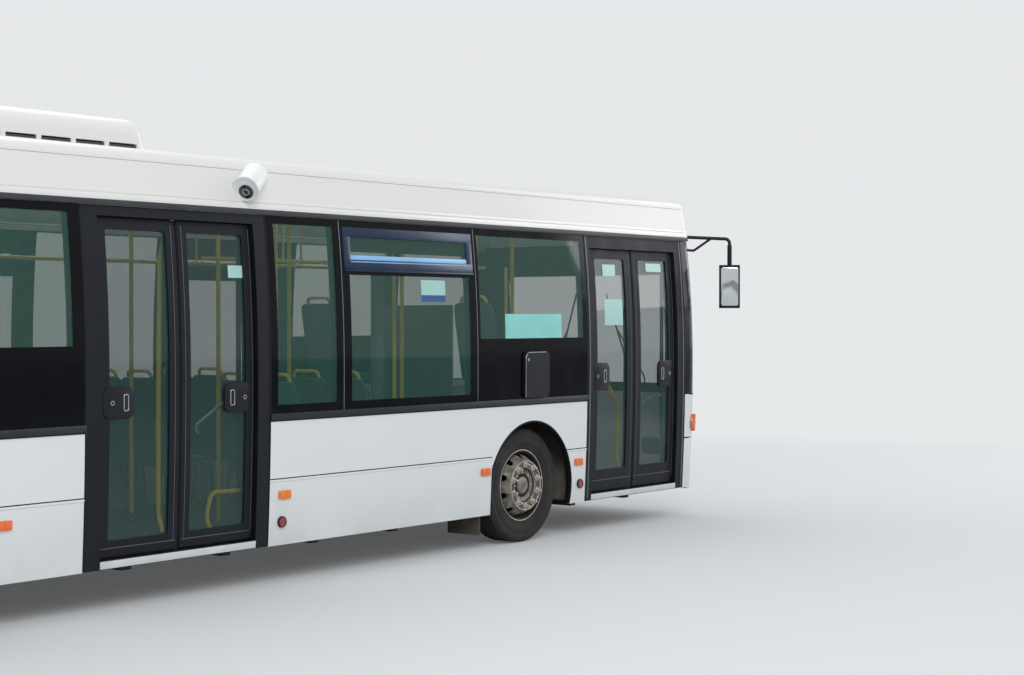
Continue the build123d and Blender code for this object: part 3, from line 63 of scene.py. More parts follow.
ROOF_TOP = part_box("roof")[1][2]
FLOOR_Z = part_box("low_floor")[1][2]
PLATFORM_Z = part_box("rear_platform")[1][2]
BOX_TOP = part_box("wheel_boxes")[1][2]

# Heights and sizes of the visible trim, in metres
LEDGE_TOP = WAIST_Z + 0.052
GUTTER_TOP = 2.640
SEAM_LINE_Z = 2.912
WIDEST_Z = 1.5
LOWER_TUCK = 0.035
UPPER_LEAN = 0.062
COVE_FOOT, COVE_HEAD = 0.054, 0.100


def arc_radius(rise, sag):
    return (rise**2 + sag**2) / (2 * sag)


LOWER_RADIUS = arc_radius(WIDEST_Z - SKIRT_BOTTOM, LOWER_TUCK)
UPPER_RADIUS = arc_radius(BAND_TOP - WIDEST_Z, UPPER_LEAN)
COVE_SLOPE = (COVE_HEAD - COVE_FOOT) / (SEAM_LINE_Z - GUTTER_TOP)


def skin(z):
    """How far the side stands outward of its widest line at a height, zero or less."""
    if z > GUTTER_TOP:
        return -COVE_FOOT - COVE_SLOPE * (z - GUTTER_TOP)
    if z > BAND_TOP:
        return -UPPER_LEAN
    radius = LOWER_RADIUS if z < WIDEST_Z else UPPER_RADIUS
    return math.sqrt(radius**2 - (z - WIDEST_Z) ** 2) - radius


def linear(colour):
    """An sRGB hex colour as linear red, green, blue and alpha."""
    channels = [int(colour[i : i + 2], 16) / 255 for i in (1, 3, 5)]
    return [c / 12.92 if c <= 0.04045 else ((c + 0.055) / 1.055) ** 2.4 for c in channels] + [1.0]


def feed(tree, node, links):
    """Fills inputs with a number, a hex colour, an output, or a node's first output."""
    for name, value in links.items():
        if isinstance(value, bpy.types.Node):
            value = value.outputs[0]
        if isinstance(value, bpy.types.NodeSocket):
            tree.links.new(value, node.inputs[name])
        else:
            node.inputs[name].default_value = linear(value) if isinstance(value, str) else value


def add_node(tree, kind, settings, links):
    """Adds a node with its settings and links."""
    new = tree.nodes.new("ShaderNode" + kind)
    for name, value in settings.items():
        setattr(new, name, value)
    feed(tree, new, links)
    return new


# A Mix node set to colours: its setting, its two colour inputs and its colour output
COLOUR_MIX, FIRST, SECOND, MIXED = {"data_type": "RGBA"}, 6, 7, 2


def new_material(name, values):
    """A material with a principled shader whose own sockets take the values."""
    material = bpy.data.materials.new(name)
    material.use_nodes = True
    tree = material.node_tree
    shader = tree.nodes["Principled BSDF"]
    feed(tree, shader, {"Coat Roughness": 0.08, **values})
    return material, tree, shader


def painted_steel(name, colour, dust_colour, dust_top, dust_amount, roughness):
    """Enamel sprayed on sheet steel: glossy, a little wavy, with road dust low down.

    Dust patches are 400 mm and faint stains 1.1 m across. The paint's peel is 17 mm, because
    the real 3 mm wouldn't show from where the camera stands.
    """
    values = {"Base Color": colour, "Roughness": roughness, "Coat Weight": 0.35}
    material, tree, shader = new_material(name, values)
    place = add_node(tree, "TexCoord", {}, {}).outputs["Object"]
    height = add_node(tree, "SeparateXYZ", {}, {"Vector": place}).outputs["Z"]
    fall = {"From Min": 0.25, "From Max": dust_top, "To Min": dust_amount, "To Max": 0.0}
    low_down = add_node(tree, "MapRange", {}, {"Value": height, **fall})
    cloud = add_node(tree, "TexNoise", {}, {"Vector": place, "Scale": 2.5, "Detail": 6.0})
    patches = add_node(
        tree, "MapRange", {}, {"Value": cloud, "From Min": 0.35, "From Max": 0.75, "To Min": 0.25}
    )
    dust = add_node(tree, "Math", {"operation": "MULTIPLY"}, {0: low_down, 1: patches})
    wide = add_node(tree, "TexNoise", {}, {"Vector": place, "Scale": 0.9, "Detail": 2.0})
    stains = add_node(
        tree, "MapRange", {}, {"Value": wide, "From Min": 0.3, "From Max": 0.7, "To Max": 0.05}
    )
    total = add_node(tree, "Math", {"operation": "ADD"}, {0: dust, 1: stains})
    tint = add_node(tree, "Mix", COLOUR_MIX, {"Factor": total, FIRST: colour, SECOND: dust_colour})
    gloss = add_node(
        tree, "MapRange", {}, {"Value": total, "From Max": 0.5, "To Min": roughness, "To Max": 0.65}
    )
    peel = add_node(tree, "TexNoise", {}, {"Vector": place, "Scale": 60.0, "Detail": 1.0})
    raised = add_node(tree, "Bump", {}, {"Height": peel, "Strength": 0.04, "Distance": 0.002})
    feed(tree, shader, {"Base Color": tint.outputs[MIXED], "Roughness": gloss, "Normal": raised})
    return material


def plain_finish(
    name,
    colour,
    second,
    roughness,
    metallic=0.0,
    grains=400.0,
    relief=0.1,
    coat=0.0,
    specular=0.5,
):
    """A moulded, cast or coated surface: two close colours, uneven gloss and a fine grain.

    Tones change over 170 mm. The grain is 2.5 mm across, or as given in grains to the metre,
    because the real one of 0.1 to 0.5 mm wouldn't show.
    """
    values = {"Base Color": colour, "Roughness": roughness, "Metallic": metallic}
    values.update({"Coat Weight": coat, "Specular IOR Level": specular})
    material, tree, shader = new_material(name, values)
    place = add_node(tree, "TexCoord", {}, {}).outputs["Object"]
    cloud = add_node(tree, "TexNoise", {}, {"Vector": place, "Scale": 6.0, "Detail": 4.0})
    tones = add_node(tree, "MapRange", {}, {"Value": cloud, "From Min": 0.3, "From Max": 0.7})
    tint = add_node(tree, "Mix", COLOUR_MIX, {"Factor": tones, FIRST: colour, SECOND: second})
    glossy, dull = max(roughness - 0.06, 0.02), min(roughness + 0.08, 1.0)
    gloss = add_node(tree, "MapRange", {}, {"Value": tones, "To Min": glossy, "To Max": dull})
    grain = add_node(tree, "TexNoise", {}, {"Vector": place, "Scale": grains, "Detail": 2.0})
    raised = add_node(tree, "Bump", {}, {"Height": grain, "Strength": relief, "Distance": 0.001})
    feed(tree, shader, {"Base Color": tint.outputs[MIXED], "Roughness": gloss, "Normal": raised})
    return material


def window_glass(name, colour, clear):
    """Green-tinted float glass: dark and see-through head on, mirror-like at a glance."""
    values = {"Base Color": colour, "Roughness": 0.03, "Specular IOR Level": 0.8}
    material, tree, shader = new_material(name, values)
    glance = add_node(tree, "LayerWeight", {}, {"Blend": 0.5}).outputs["Facing"]
    gain = {"From Min": 0.45, "From Max": 0.95, "To Min": 1 - clear, "To Max": 0.9}
    solid = add_node(tree, "MapRange", {}, {"Value": glance, **gain})
    feed(tree, shader, {"Alpha": solid})
    return material


def tyre_rubber(name):
    """Carbon-black rubber, vulcanised in a mould: matt black, greyed by dust in 200 mm patches.

    The pores are 3.3 mm, because the real half millimetre wouldn't show.
    """
    values = {"Base Color": "#1B1A1B", "Roughness": 0.85}
    material, tree, shader = new_material(name, values)
    place = add_node(tree, "TexCoord", {}, {}).outputs["Object"]
    cloud = add_node(tree, "TexNoise", {}, {"Vector": place, "Scale": 5.0, "Detail": 5.0})
    dust = add_node(
        tree, "MapRange", {}, {"Value": cloud, "From Min": 0.35, "From Max": 0.75, "To Max": 0.55}
    )
    tint = add_node(tree, "Mix", COLOUR_MIX, {"Factor": dust, FIRST: "#191819", SECOND: "#38342F"})
    pores = add_node(tree, "TexNoise", {}, {"Vector": place, "Scale": 300.0, "Detail": 3.0})
    raised = add_node(tree, "Bump", {}, {"Height": pores, "Strength": 0.25, "Distance": 0.001})
    feed(tree, shader, {"Base Color": tint.outputs[MIXED], "Normal": raised})
    return material


def dusty_steel(name):
    """Pressed and painted steel under brake and road dust: brown-grey, worn bright in patches.

    The patches are 70 mm across and the grit 4 mm, coarser than real grit so that it shows.
    """
    values = {"Base Color": "#77716A", "Roughness": 0.6, "Metallic": 0.35}
    material, tree, shader = new_material(name, values)
    place = add_node(tree, "TexCoord", {}, {}).outputs["Object"]
    cloud = add_node(tree, "TexNoise", {}, {"Vector": place, "Scale": 14.0, "Detail": 6.0})
    worn = add_node(tree, "MapRange", {}, {"Value": cloud, "From Min": 0.35, "From Max": 0.7})
    tint = add_node(tree, "Mix", COLOUR_MIX, {"Factor": worn, FIRST: "#6A655D", SECOND: "#A9A399"})
    gloss = add_node(tree, "MapRange", {}, {"Value": worn, "To Min": 0.75, "To Max": 0.45})
    grit = add_node(tree, "TexNoise", {}, {"Vector": place, "Scale": 250.0, "Detail": 3.0})
    raised = add_node(tree, "Bump", {}, {"Height": grit, "Strength": 0.2, "Distance": 0.001})
    feed(tree, shader, {"Base Color": tint.outputs[MIXED], "Roughness": gloss, "Normal": raised})
    return material


def seat_cloth(name):
    """Woven wool moquette: matt teal and blue in small checks, with a soft sheen of fibres.
    """
    values = {"Base Color": "#1F5F6B", "Roughness": 0.9, "Sheen Weight": 0.3}
    material, tree, shader = new_material(name, values)
    place = add_node(tree, "TexCoord", {}, {}).outputs["Object"]
    colours = {"Color1": "#1C5A68", "Color2": "#25486F"}
    checks = add_node(tree, "TexChecker", {}, {"Vector": place, "Scale": 90.0, **colours})
    pile = add_node(tree, "TexNoise", {}, {"Vector": place, "Scale": 900.0, "Detail": 1.0})
    raised = add_node(tree, "Bump", {}, {"Height": pile, "Strength": 0.3, "Distance": 0.001})
    feed(tree, shader, {"Base Color": checks, "Normal": raised})
    return material


def opal_cover(name):
    """Frosted acrylic over a ceiling light: even, white and softly lit from behind.

    The frosting is 2.5 mm, because the real 0.1 mm wouldn't show.
    """
    values = {"Base Color": "#F2F3F0", "Roughness": 0.5}
    values.update({"Emission Color": "#FFFFFF", "Emission Strength": 3.0})
    material, tree, shader = new_material(name, values)
    place = add_node(tree, "TexCoord", {}, {}).outputs["Object"]
    frosting = add_node(tree, "TexNoise", {}, {"Vector": place, "Scale": 400.0, "Detail": 1.0})
    raised = add_node(tree, "Bump", {}, {"Height": frosting, "Strength": 0.05, "Distance": 0.001})
    feed(tree, shader, {"Normal": raised})
    return material


# Sprayed enamel: cool white and glossy on the sides, duller, with dust lying, on the roof
WHITE_PAINT = painted_steel(
    "white_enamel_on_steel", "#E0E4E5", "#8F8A80", 0.75, 0.32, 0.28
)
ROOF_PAINT = painted_steel("white_enamel_roof", "#DDDDDA", "#B8B6B0", 0.4, 0.1, 0.35)
# Sprayed black enamel: deep, smooth and evenly glossy
BLACK_PAINT = plain_finish(
    "black_enamel_band", "#0B0C10", "#0F1116", 0.25, relief=0.02, coat=0.2,
    specular=0.10,
)
# Powder coat baked on aluminium: blue-black and satin, with a faint pebble
DOOR_PAINT = plain_finish(
    "powder_coated_aluminium", "#0E1118", "#12161F", 0.5, relief=0.08,
    specular=0.22,
)
LEDGE_PAINT = plain_finish(
    "powder_coated_ledge", "#24272D", "#2C3037", 0.45, relief=0.08,
    specular=0.22,
)
# Rubber drawn through a die: a dull dark strip with a soft shine along it
GUTTER_RUBBER = plain_finish(
    "extruded_gutter_rubber", "#34363B", "#3F4146", 0.5, specular=0.22
)
SEAL_RUBBER = plain_finish(
    "epdm_rubber_seal", "#0E0E10", "#161617", 0.62, relief=0.2, specular=0.20
)
# Toughened glass in the sides and doors, and paler laminated glass in the windscreen
GLASS = window_glass("green_tinted_glass", "#1C5347", 0.64)
DOOR_GLASS = window_glass("green_tinted_door_glass", "#194640", 0.62)
SCREEN_GLASS = window_glass("laminated_windscreen", "#263F41", 0.80)
TYRE = tyre_rubber("carbon_black_tyre_rubber")
WHEEL = dusty_steel("dusty_wheel_steel")
# Moulded acrylic and polycarbonate lenses: strong clear colour under a hard wet gloss
ORANGE_LENS = plain_finish(
    "orange_acrylic_lens", "#E8641B", "#F07E2A", 0.15, relief=0.02, coat=0.6
)
RED_LENS = plain_finish(
    "red_acrylic_lens", "#8A1D22", "#9C2A2C", 0.15, relief=0.02, coat=0.6
)
CLEAR_LENS = plain_finish(
    "clear_polycarbonate_lens", "#C9CFD3", "#DDE2E5", 0.08, relief=0.02, coat=0.8
)
LAMP_COVER = plain_finish(
    "smoked_polycarbonate", "#454B50", "#555B60", 0.1, relief=0.01, coat=0.6
)
# Moulded ABS: even colour, half matt, with the fine leather grain of the mould
BLACK_PLASTIC = plain_finish(
    "moulded_black_abs", "#17181B", "#1E2024", 0.45, relief=0.15, specular=0.25
)
GREY_PLASTIC = plain_finish(
    "moulded_grey_abs", "#5D6164", "#686C6F", 0.55, relief=0.15
)
WHITE_PLASTIC = plain_finish(
    "moulded_white_abs", "#DCDEDE", "#E6E7E7", 0.35, relief=0.05
)
BOX_PLASTIC = plain_finish(
    "moulded_satin_black_abs", "#17191F", "#1C1F26", 0.4, relief=0.05,
    specular=0.20,
)
# Glass-fibre seat shell, pressed: blue-grey, satin, smooth to the hand
SHELL_PLASTIC = plain_finish("pressed_glass_fibre", "#4B5A60", "#55646A", 0.5)
# Bitumen coating sprayed on thick: matt, lumpy, brown-black with road dirt
UNDERBODY = plain_finish(
    "sprayed_underbody_coating", "#232221", "#35322E", 0.85, relief=0.4
)
# Iron cast in sand: dark, rough, with a little metal shine on the high places
CAST_IRON = plain_finish("cast_iron", "#3A3B3D", "#4A4846", 0.7, 0.5, relief=0.4)
# Calendered vinyl with speckles of 1.7 mm: mid grey and dull
FLOOR_VINYL = plain_finish(
    "speckled_floor_vinyl", "#3F4347", "#54585C", 0.7, grains=600.0, relief=0.15
)
# Powder coat on steel tube: bright warm yellow with soft highlights
YELLOW_RAIL = plain_finish(
    "yellow_powder_coated_tube", "#EFCB0C", "#F4D31E", 0.3, relief=0.03, coat=0.3
)
# Ribbed aluminium nosing with yellow grit: duller and rougher than the tubes
SIGNAL_YELLOW = plain_finish(
    "gritted_yellow_nosing", "#D7B420", "#E1C038", 0.55, relief=0.3
)
SEAT_CLOTH = seat_cloth("woven_seat_moquette")
# Flat-woven polyester: charcoal and matt, with an open rough weave
DRIVER_CLOTH = plain_finish(
    "woven_charcoal_polyester", "#26282B", "#303236", 0.9, relief=0.3
)
# High-pressure laminate: flat pale grey, barely glossy, nearly smooth
LINING = plain_finish(
    "high_pressure_laminate", "#A9ADAA", "#B4B8B5", 0.6, relief=0.08
)
# Anodised aluminium: dark blue with a metal sheen under the colour
HOPPER_PAINT = plain_finish(
    "anodised_blue_aluminium", "#1C2A42", "#22324D", 0.32, 0.4, relief=0.04
)
# Extruded aluminium: straight grey strips, satin, with a faint metal shine
JOINT_METAL = plain_finish(
    "extruded_aluminium_strip", "#62666B", "#6F7378", 0.45, 0.6, relief=0.05
)
BEAD_METAL = plain_finish(
    "extruded_aluminium_bead", "#53565B", "#5F6267", 0.45, 0.4, relief=0.05
)
SILL_METAL = plain_finish(
    "painted_aluminium_sill", "#C6C9CA", "#D2D4D5", 0.45, relief=0.08
)
# Die-cast zinc, satin chromed: light grey with long soft highlights
HANDLE_METAL = plain_finish(
    "satin_chromed_zinc", "#9DA1A5", "#ABAFB2", 0.3, 0.8, relief=0.03
)
# Zinc-plated forged steel: pale, a little dull, pitted by the weather
NUT_STEEL = plain_finish(
    "zinc_plated_steel", "#B4B0A8", "#C9C5BD", 0.4, 0.5, relief=0.3
)
# Sealant drawn from a gun and wiped: a flat matt grey line
SEAM_SEALANT = plain_finish("wiped_grey_sealant", "#8B8E91", "#96999B", 0.7)
# Hopper glass seen from below: its light blue is a painted reflection of a sky
HOPPER_PAINTED_SKY = plain_finish(
    "hopper_glass_with_painted_sky", "#7FB4E2", "#8DC0EA", 0.35, relief=0.01
)
# Ceramic ink fired on the pane: opaque black, as smooth as the glass over it
FRIT = plain_finish(
    "fired_black_frit", "#0A0B0E", "#0D0E12", 0.09, relief=0.005, specular=0.10
)
# Pressed plastic arch liner under thick dust: brown, matt, in clumps of 5 mm
LINER = plain_finish(
    "dusty_pressed_plastic", "#3F3B36", "#6B645A", 0.85, grains=200.0, relief=0.4
)
# Steel of the wheel: near black with painted shade in the rim's barrel and the hub hollows, pale
# with a painted highlight on the rim's lip and collar, brown and darker on the nut face
PAINTED_SHADE_STEEL = plain_finish(
    "steel_with_painted_shade", "#14120F", "#262019", 0.8, 0.2, relief=0.4
)
# Pale steel: a painted highlight on the rim's lip and on the front wheels' collar
PAINTED_HIGHLIGHT_STEEL = plain_finish(
    "rim_steel_with_painted_highlight", "#A09C95", "#B9B5AD", 0.4, 0.4, relief=0.2
)
FACE_STEEL = plain_finish(
    "darker_brown_steel_face", "#4A4239", "#6B6155", 0.7, 0.2, relief=0.3
)
# Rubber sheet pressed in a ribbed mould: matt, grey-brown with splashed mud
FLAP_RUBBER = plain_finish(
    "pressed_ribbed_rubber", "#4A4741", "#5D5951", 0.85, relief=0.3
)
# Float glass silvered behind: a clear cold mirror
MIRROR_GLASS = plain_finish(
    "silvered_mirror_glass", "#C3C8CB", "#CBD0D2", 0.05, 1.0, relief=0.0
)
# Coated paper on the glass: flat pale or blue colour, lightly glossy
PALE_SHEET = plain_finish(
    "pale_coated_sheet", "#82CBC8", "#8AD0CD", 0.2, relief=0.01
)
WHITE_SHEET = plain_finish(
    "white_coated_sheet", "#9CC9C4", "#A5CFCA", 0.2, relief=0.01
)
BLUE_SHEET = plain_finish(
    "blue_coated_sheet", "#1F4A86", "#25528F", 0.2, relief=0.01
)
# Stove enamel on pressed aluminium: clean white, evenly glossy
PLATE_WHITE = plain_finish(
    "white_plate_enamel", "#E4E5E3", "#EAEBE9", 0.35, relief=0.02
)
# Smoked polished glass: black with one sharp highlight
CAMERA_GLASS = plain_finish(
    "smoked_camera_glass", "#060708", "#0A0B0C", 0.05, relief=0.0, coat=1.0
)
OPAL = opal_cover("frosted_acrylic")

FINISHES = {
    "roof_hatch": BLACK_PLASTIC,
    "windscreen": SCREEN_GLASS,
    "door_frames": DOOR_PAINT,
    "head_lamps": LAMP_COVER,
    "side_flap": BOX_PLASTIC,
    "wheel_boxes": LINER,
    "grab_poles": YELLOW_RAIL,
    "mirrors": BLACK_PLASTIC,
    "steering_wheel": BLACK_PLASTIC,
    "camera_housing": WHITE_PLASTIC,
}
for nodes, material in [
    ("side_panels skirts front_panel front_bumper", WHITE_PAINT),
    ("rear_bumper rear_panel engine_door", WHITE_PAINT),
    ("roof roof_pod", ROOF_PAINT),
    ("right_band left_band front_pillars", BLACK_PAINT),
    ("side_windows rear_window", GLASS),
    ("tail_lamps round_markers", RED_LENS),
    ("side_lamps front_indicators", ORANGE_LENS),
    ("chassis_frame front_axle rear_axle", UNDERBODY),
    ("left_knuckle right_knuckle engine", CAST_IRON),
    ("low_floor rear_platform", FLOOR_VINYL),
    ("seats driver_seat", SEAT_CLOTH),
    ("dashboard driver_partition", GREY_PLASTIC),
]:
    FINISHES.update({name: material for name in nodes.split()})
for door in ("front", "middle"):
    for end in ("rear", "front"):
        FINISHES[f"{door}_door_{end}_leaf"] = DOOR_PAINT
        FINISHES[f"{door}_door_{end}_leaf_glass"] = DOOR_GLASS
for side_name in ("left", "right"):
    FINISHES[f"front_{side_name}_tyre"] = FINISHES[f"rear_{side_name}_tyres"] = TYRE
    FINISHES[f"front_{side_name}_rim"] = FINISHES[f"rear_{side_name}_rims"] = WHEEL
for name, material in FINISHES.items():
    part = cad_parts[name]
    part.data.materials.clear()
    part.data.materials.append(material)


def deselect():
    if bpy.context.object and bpy.context.object.mode != "OBJECT":
        bpy.ops.object.mode_set(mode="OBJECT")
    bpy.ops.object.select_all(action="DESELECT")


def active():
    return bpy.context.view_layer.objects.active


def pick(piece):
    """Makes a piece the only one selected."""
    deselect()
    piece.select_set(True)
    bpy.context.view_layer.objects.active = piece
    return piece


def apply_modifiers(piece):
    pick(piece)
    for modifier in list(piece.modifiers):
        bpy.ops.object.modifier_apply(modifier=modifier.name)
    return piece


def join(pieces):
    """Joins several pieces into the first."""
    pick(pieces[0])
    for piece in pieces[1:]:
        piece.select_set(True)
    if len(pieces) > 1:
        bpy.ops.object.join()
    return pieces[0]


def copy_of(piece, matrix):
    """A copy with its own mesh, moved or turned."""
    copy = piece.copy()
    copy.data = piece.data.copy()
    bpy.context.collection.objects.link(copy)
    copy.data.transform(matrix)
    return copy


def settle(piece, name, material, body="root", smooth=30):
    """Names a piece, leaves its place in its mesh, and gives it its finish and its body."""
    pick(piece)
    bpy.ops.object.transform_apply(location=True, rotation=True, scale=True)
    if smooth:
        bpy.ops.object.shade_smooth_by_angle(angle=math.radians(smooth))
    piece.name = name
    piece.data.name = name
    piece.data.materials.clear()
    piece.data.materials.append(material)
    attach(piece, body)
    return piece


def select_edges(piece, wanted):
    """Goes into edit mode with the edges selected whose two ends pass a test."""
    pick(piece)
    bpy.ops.object.mode_set(mode="EDIT")
    bpy.ops.mesh.select_mode(type="EDGE")
    bpy.ops.mesh.select_all(action="DESELECT")
    shape = bmesh.from_edit_mesh(piece.data)
    for edge in shape.edges:
        if wanted(edge.verts[0].co, edge.verts[1].co):
            edge.select_set(True)
    bmesh.update_edit_mesh(piece.data)


def round_corners(piece, axis, radius, segments=5):
    """Rounds the edges that run along an axis (0, 1 or 2)."""
    others = [n for n in range(3) if n != axis]
    select_edges(piece, lambda a, b: all(abs(a[n] - b[n]) < 1e-5 for n in others))
    bpy.ops.mesh.bevel(offset=radius, segments=segments, affect="EDGES")
    bpy.ops.object.mode_set(mode="OBJECT")


def soften(piece, width, segments=2):
    """Gives a small round to every sharp edge."""
    bevel = piece.modifiers.new("soft_edges", "BEVEL")
    bevel.width = width
    bevel.segments = segments
    bevel.limit_method = "ANGLE"
    bevel.angle_limit = math.radians(40)
    return apply_modifiers(piece)


def slab(low, high, edge=0.002, rounded=None):
    """A box between two corners with soft edges; rounded gives an axis and a radius."""
    deselect()
    size = [h - l for l, h in zip(low, high)]
    centre = [(l + h) / 2 for l, h in zip(low, high)]
    bpy.ops.mesh.primitive_cube_add(size=1, location=centre, scale=size)
    bpy.ops.object.transform_apply(location=True, rotation=True, scale=True)
    piece = active()
    if rounded:
        round_corners(piece, *rounded)
    if edge:
        soften(piece, edge)
    return piece


# The tallest length of a bar that stays straight on the curved side, in metres
CUT_HEIGHT = 0.14


def follow_side(piece, side):
    """Cuts a piece into short lengths of height and bends it to the side's upright curve."""
    heights = [corner[2] for corner in piece.bound_box]
    low, high = min(heights), max(heights)
    cuts = int((high - low) / CUT_HEIGHT)
    pick(piece)
    bpy.ops.object.mode_set(mode="EDIT")
    for number in range(1, cuts + 1):
        bpy.ops.mesh.select_all(action="SELECT")
        level = low + (high - low) * number / (cuts + 1)
        bpy.ops.mesh.bisect(plane_co=(0, 0, level), plane_no=(0, 0, 1))
    bpy.ops.object.mode_set(mode="OBJECT")
    for vertex in piece.data.vertices:
        vertex.co.y += side * skin(vertex.co.z)
    return piece


def side_bar(side, x_low, x_high, z_low, z_high, inner, outer, edge=0.002, corner=0.0):
    """A bar on one side of the bus between two depths from the skin."""
    y_low, y_high = measured(0, side, HALF + inner, HALF + outer)
    rounded = (1, corner) if corner else None
    bar = slab((x_low, y_low, z_low), (x_high, y_high, z_high), edge, rounded)
    return follow_side(bar, side)


def side_frame(side, x_low, x_high, z_low, z_high, width, inner, outer, edge=0.002):
    """Four bars round a rectangle on one side of the bus."""
    spans = [
        (x_low, x_low + width, z_low, z_high),
        (x_high - width, x_high, z_low, z_high),
        (x_low, x_high, z_low, z_low + width),
        (x_low, x_high, z_high - width, z_high),
    ]
    return join([side_bar(side, *span, inner, outer, edge) for span in spans])


def line_through(points):
    """A chain of edges through points, drawn by extruding one vertex."""
    deselect()
    bpy.ops.mesh.primitive_plane_add(size=0.01, location=points[0])
    bpy.ops.object.transform_apply(location=True, rotation=True, scale=True)
    bpy.ops.object.mode_set(mode="EDIT")
    bpy.ops.mesh.select_mode(type="VERT")
    bpy.ops.mesh.select_all(action="SELECT")
    bpy.ops.mesh.merge(type="CENTER")
    for start, end in zip(points, points[1:]):
        move = Vector(end) - Vector(start)
        bpy.ops.mesh.extrude_region_move(TRANSFORM_OT_translate={"value": move})
    return active()


def tube(points, radius, bend=0.0, sides=3):
    """A round tube along straight runs with rounded bends."""
    line_through(points)
    if bend:
        bpy.ops.mesh.select_all(action="DESELECT")
        shape = bmesh.from_edit_mesh(active().data)
        for vertex in shape.verts:
            vertex.select_set(len(vertex.link_edges) == 2)
        bmesh.update_edit_mesh(active().data)
        bpy.ops.mesh.bevel(offset=bend, segments=6, affect="VERTICES")
    bpy.ops.object.mode_set(mode="OBJECT")
    bpy.ops.object.convert(target="CURVE")
    piece = active()
    piece.data.bevel_depth = radius
    piece.data.bevel_resolution = sides
    piece.data.use_fill_caps = True
    bpy.ops.object.convert(target="MESH")
    return active()


def turned(points, centre, outward, steps=64):
    """A shape turned about an axle along Y from rows of outward distance and radius."""
    x, y, z = centre
    line_through([(x, y + outward * along, z + radius) for along, radius in points])
    bpy.ops.mesh.select_all(action="SELECT")
    bpy.ops.mesh.spin(steps=steps, angle=2 * math.pi, center=centre, axis=(0, 1, 0))
    bpy.ops.mesh.select_all(action="SELECT")
    bpy.ops.mesh.remove_doubles(threshold=0.00005)
    bpy.ops.mesh.normals_make_consistent(inside=False)
    bpy.ops.object.mode_set(mode="OBJECT")
    return active()


def set_round(piece, count, centre):
    """Copies of a piece set evenly round an axle along Y, all joined."""
    there, back = Matrix.Translation(Vector(centre)), Matrix.Translation(-Vector(centre))
    copies = [piece]
    for number in range(1, count):
        turn = Matrix.Rotation(2 * math.pi * number / count, 4, "Y")
        copies.append(copy_of(piece, there @ turn @ back))
    return join(copies)


def cut_away(piece, cutter):
    """Cuts one closed piece out of another."""
    cut = piece.modifiers.new("cut", "BOOLEAN")
    cut.operation = "DIFFERENCE"
    cut.solver = "EXACT"
    cut.object = cutter
    apply_modifiers(piece)
    bpy.data.objects.remove(cutter)
    return piece


def measured(start, way, near, far):
    """Two places at distances from a start along a way of 1 or -1, the lower one first."""
    return sorted((start + way * near, start + way * far))


def rod(sides, radius, length, place):
    """A closed rod along Y."""
    deselect()
    bpy.ops.mesh.primitive_cylinder_add(
        vertices=sides, radius=radius, depth=length, location=place, rotation=(math.pi / 2, 0, 0)
    )
    bpy.ops.object.transform_apply(location=True, rotation=True, scale=True)
    return active()


def turned_toward(points, place, direction, steps=32):
    """A turned shape that stands at a place with its axis along a direction."""
    piece = turned(points, (0, 0, 0), 1, steps)
    turn = Vector((0, 1, 0)).rotation_difference(Vector(direction)).to_matrix().to_4x4()
    piece.data.transform(Matrix.Translation(Vector(place)) @ turn)
    return piece


# The camera stands where the photograph's did, level with the bus's windows
FOCAL_PIXELS = 1800.0
IMAGE_WIDTH = 1024.0
SENSOR = 36.0
CAMERA_BEHIND_AXLE = 12.10
CAMERA_TO_SIDE = 8.95
CAMERA_HEIGHT = 1.89
LOOK_AWAY = math.radians(37.073)
LOOK_DOWN = math.radians(0.6525)
stand = (AXLE_X - CAMERA_BEHIND_AXLE, -HALF - CAMERA_TO_SIDE, CAMERA_HEIGHT)
bpy.ops.object.camera_add(location=stand)
camera = active()
camera.rotation_euler = (math.pi / 2 - LOOK_DOWN, 0, LOOK_AWAY - math.pi / 2)
camera.data.sensor_width = SENSOR
camera.data.lens = SENSOR * FOCAL_PIXELS / IMAGE_WIDTH
camera.data.clip_end = 500
bpy.context.scene.camera = camera

# Doorways: rear and front jambs, then the door frames' ends
MIDDLE_JAMBS = (REAR_AXLE_X + 1.440, REAR_AXLE_X + 2.820)
FRONT_JAMBS = (AXLE_X + 0.940, AXLE_X + 2.330)
MIDDLE_PORTAL = (REAR_AXLE_X + 1.305, REAR_AXLE_X + 2.940)
FRONT_PORTAL = (AXLE_X + 0.847, AXLE_X + 2.457)
LAST_JOINT = AXLE_X - 0.709
FIRST_JOINT = MIDDLE_PORTAL[1] + 0.3233 * (LAST_JOINT - MIDDLE_PORTAL[1])
REAR_BAY = (MIDDLE_PORTAL[0] - REAR_X) / 3
LEFT_BAY = (CORNER_X - REAR_X) / 8
DOOR_RECESS = 0.035
LEAF_BOTTOM = 0.350
# How far the side's edges reach behind and ahead of an axle at the wheel arches
ARCH_REAR, ARCH_FRONT = 0.505, 0.542
HOPPER_BOTTOM, HOPPER_TOP = 2.240, 2.556
# Columns: side, rear joint, front joint of each pane
PANES = [
    (RIGHT, MIDDLE_PORTAL[1], FIRST_JOINT),
    (RIGHT, FIRST_JOINT, LAST_JOINT),
    (RIGHT, LAST_JOINT, FRONT_PORTAL[0]),
    *[(RIGHT, REAR_X + n * REAR_BAY, REAR_X + (n + 1) * REAR_BAY) for n in range(3)],
    *[(LEFT, REAR_X + n * LEFT_BAY, REAR_X + (n + 1) * LEFT_BAY) for n in range(8)],
]
HOPPER_PANES = [PANES[1], PANES[4], PANES[7], PANES[9], PANES[11]]
# Stretches of each side that carry the glass band. Columns: side, rear end, front end
RUNS = [
    (LEFT, REAR_X, CORNER_X),
    (RIGHT, REAR_X, MIDDLE_PORTAL[0]),
    (RIGHT, MIDDLE_PORTAL[1], FRONT_PORTAL[0]),
]
FRONT_CORNER, FRONT_BOW, REAR_CORNER = 0.195, 15.0, 0.200


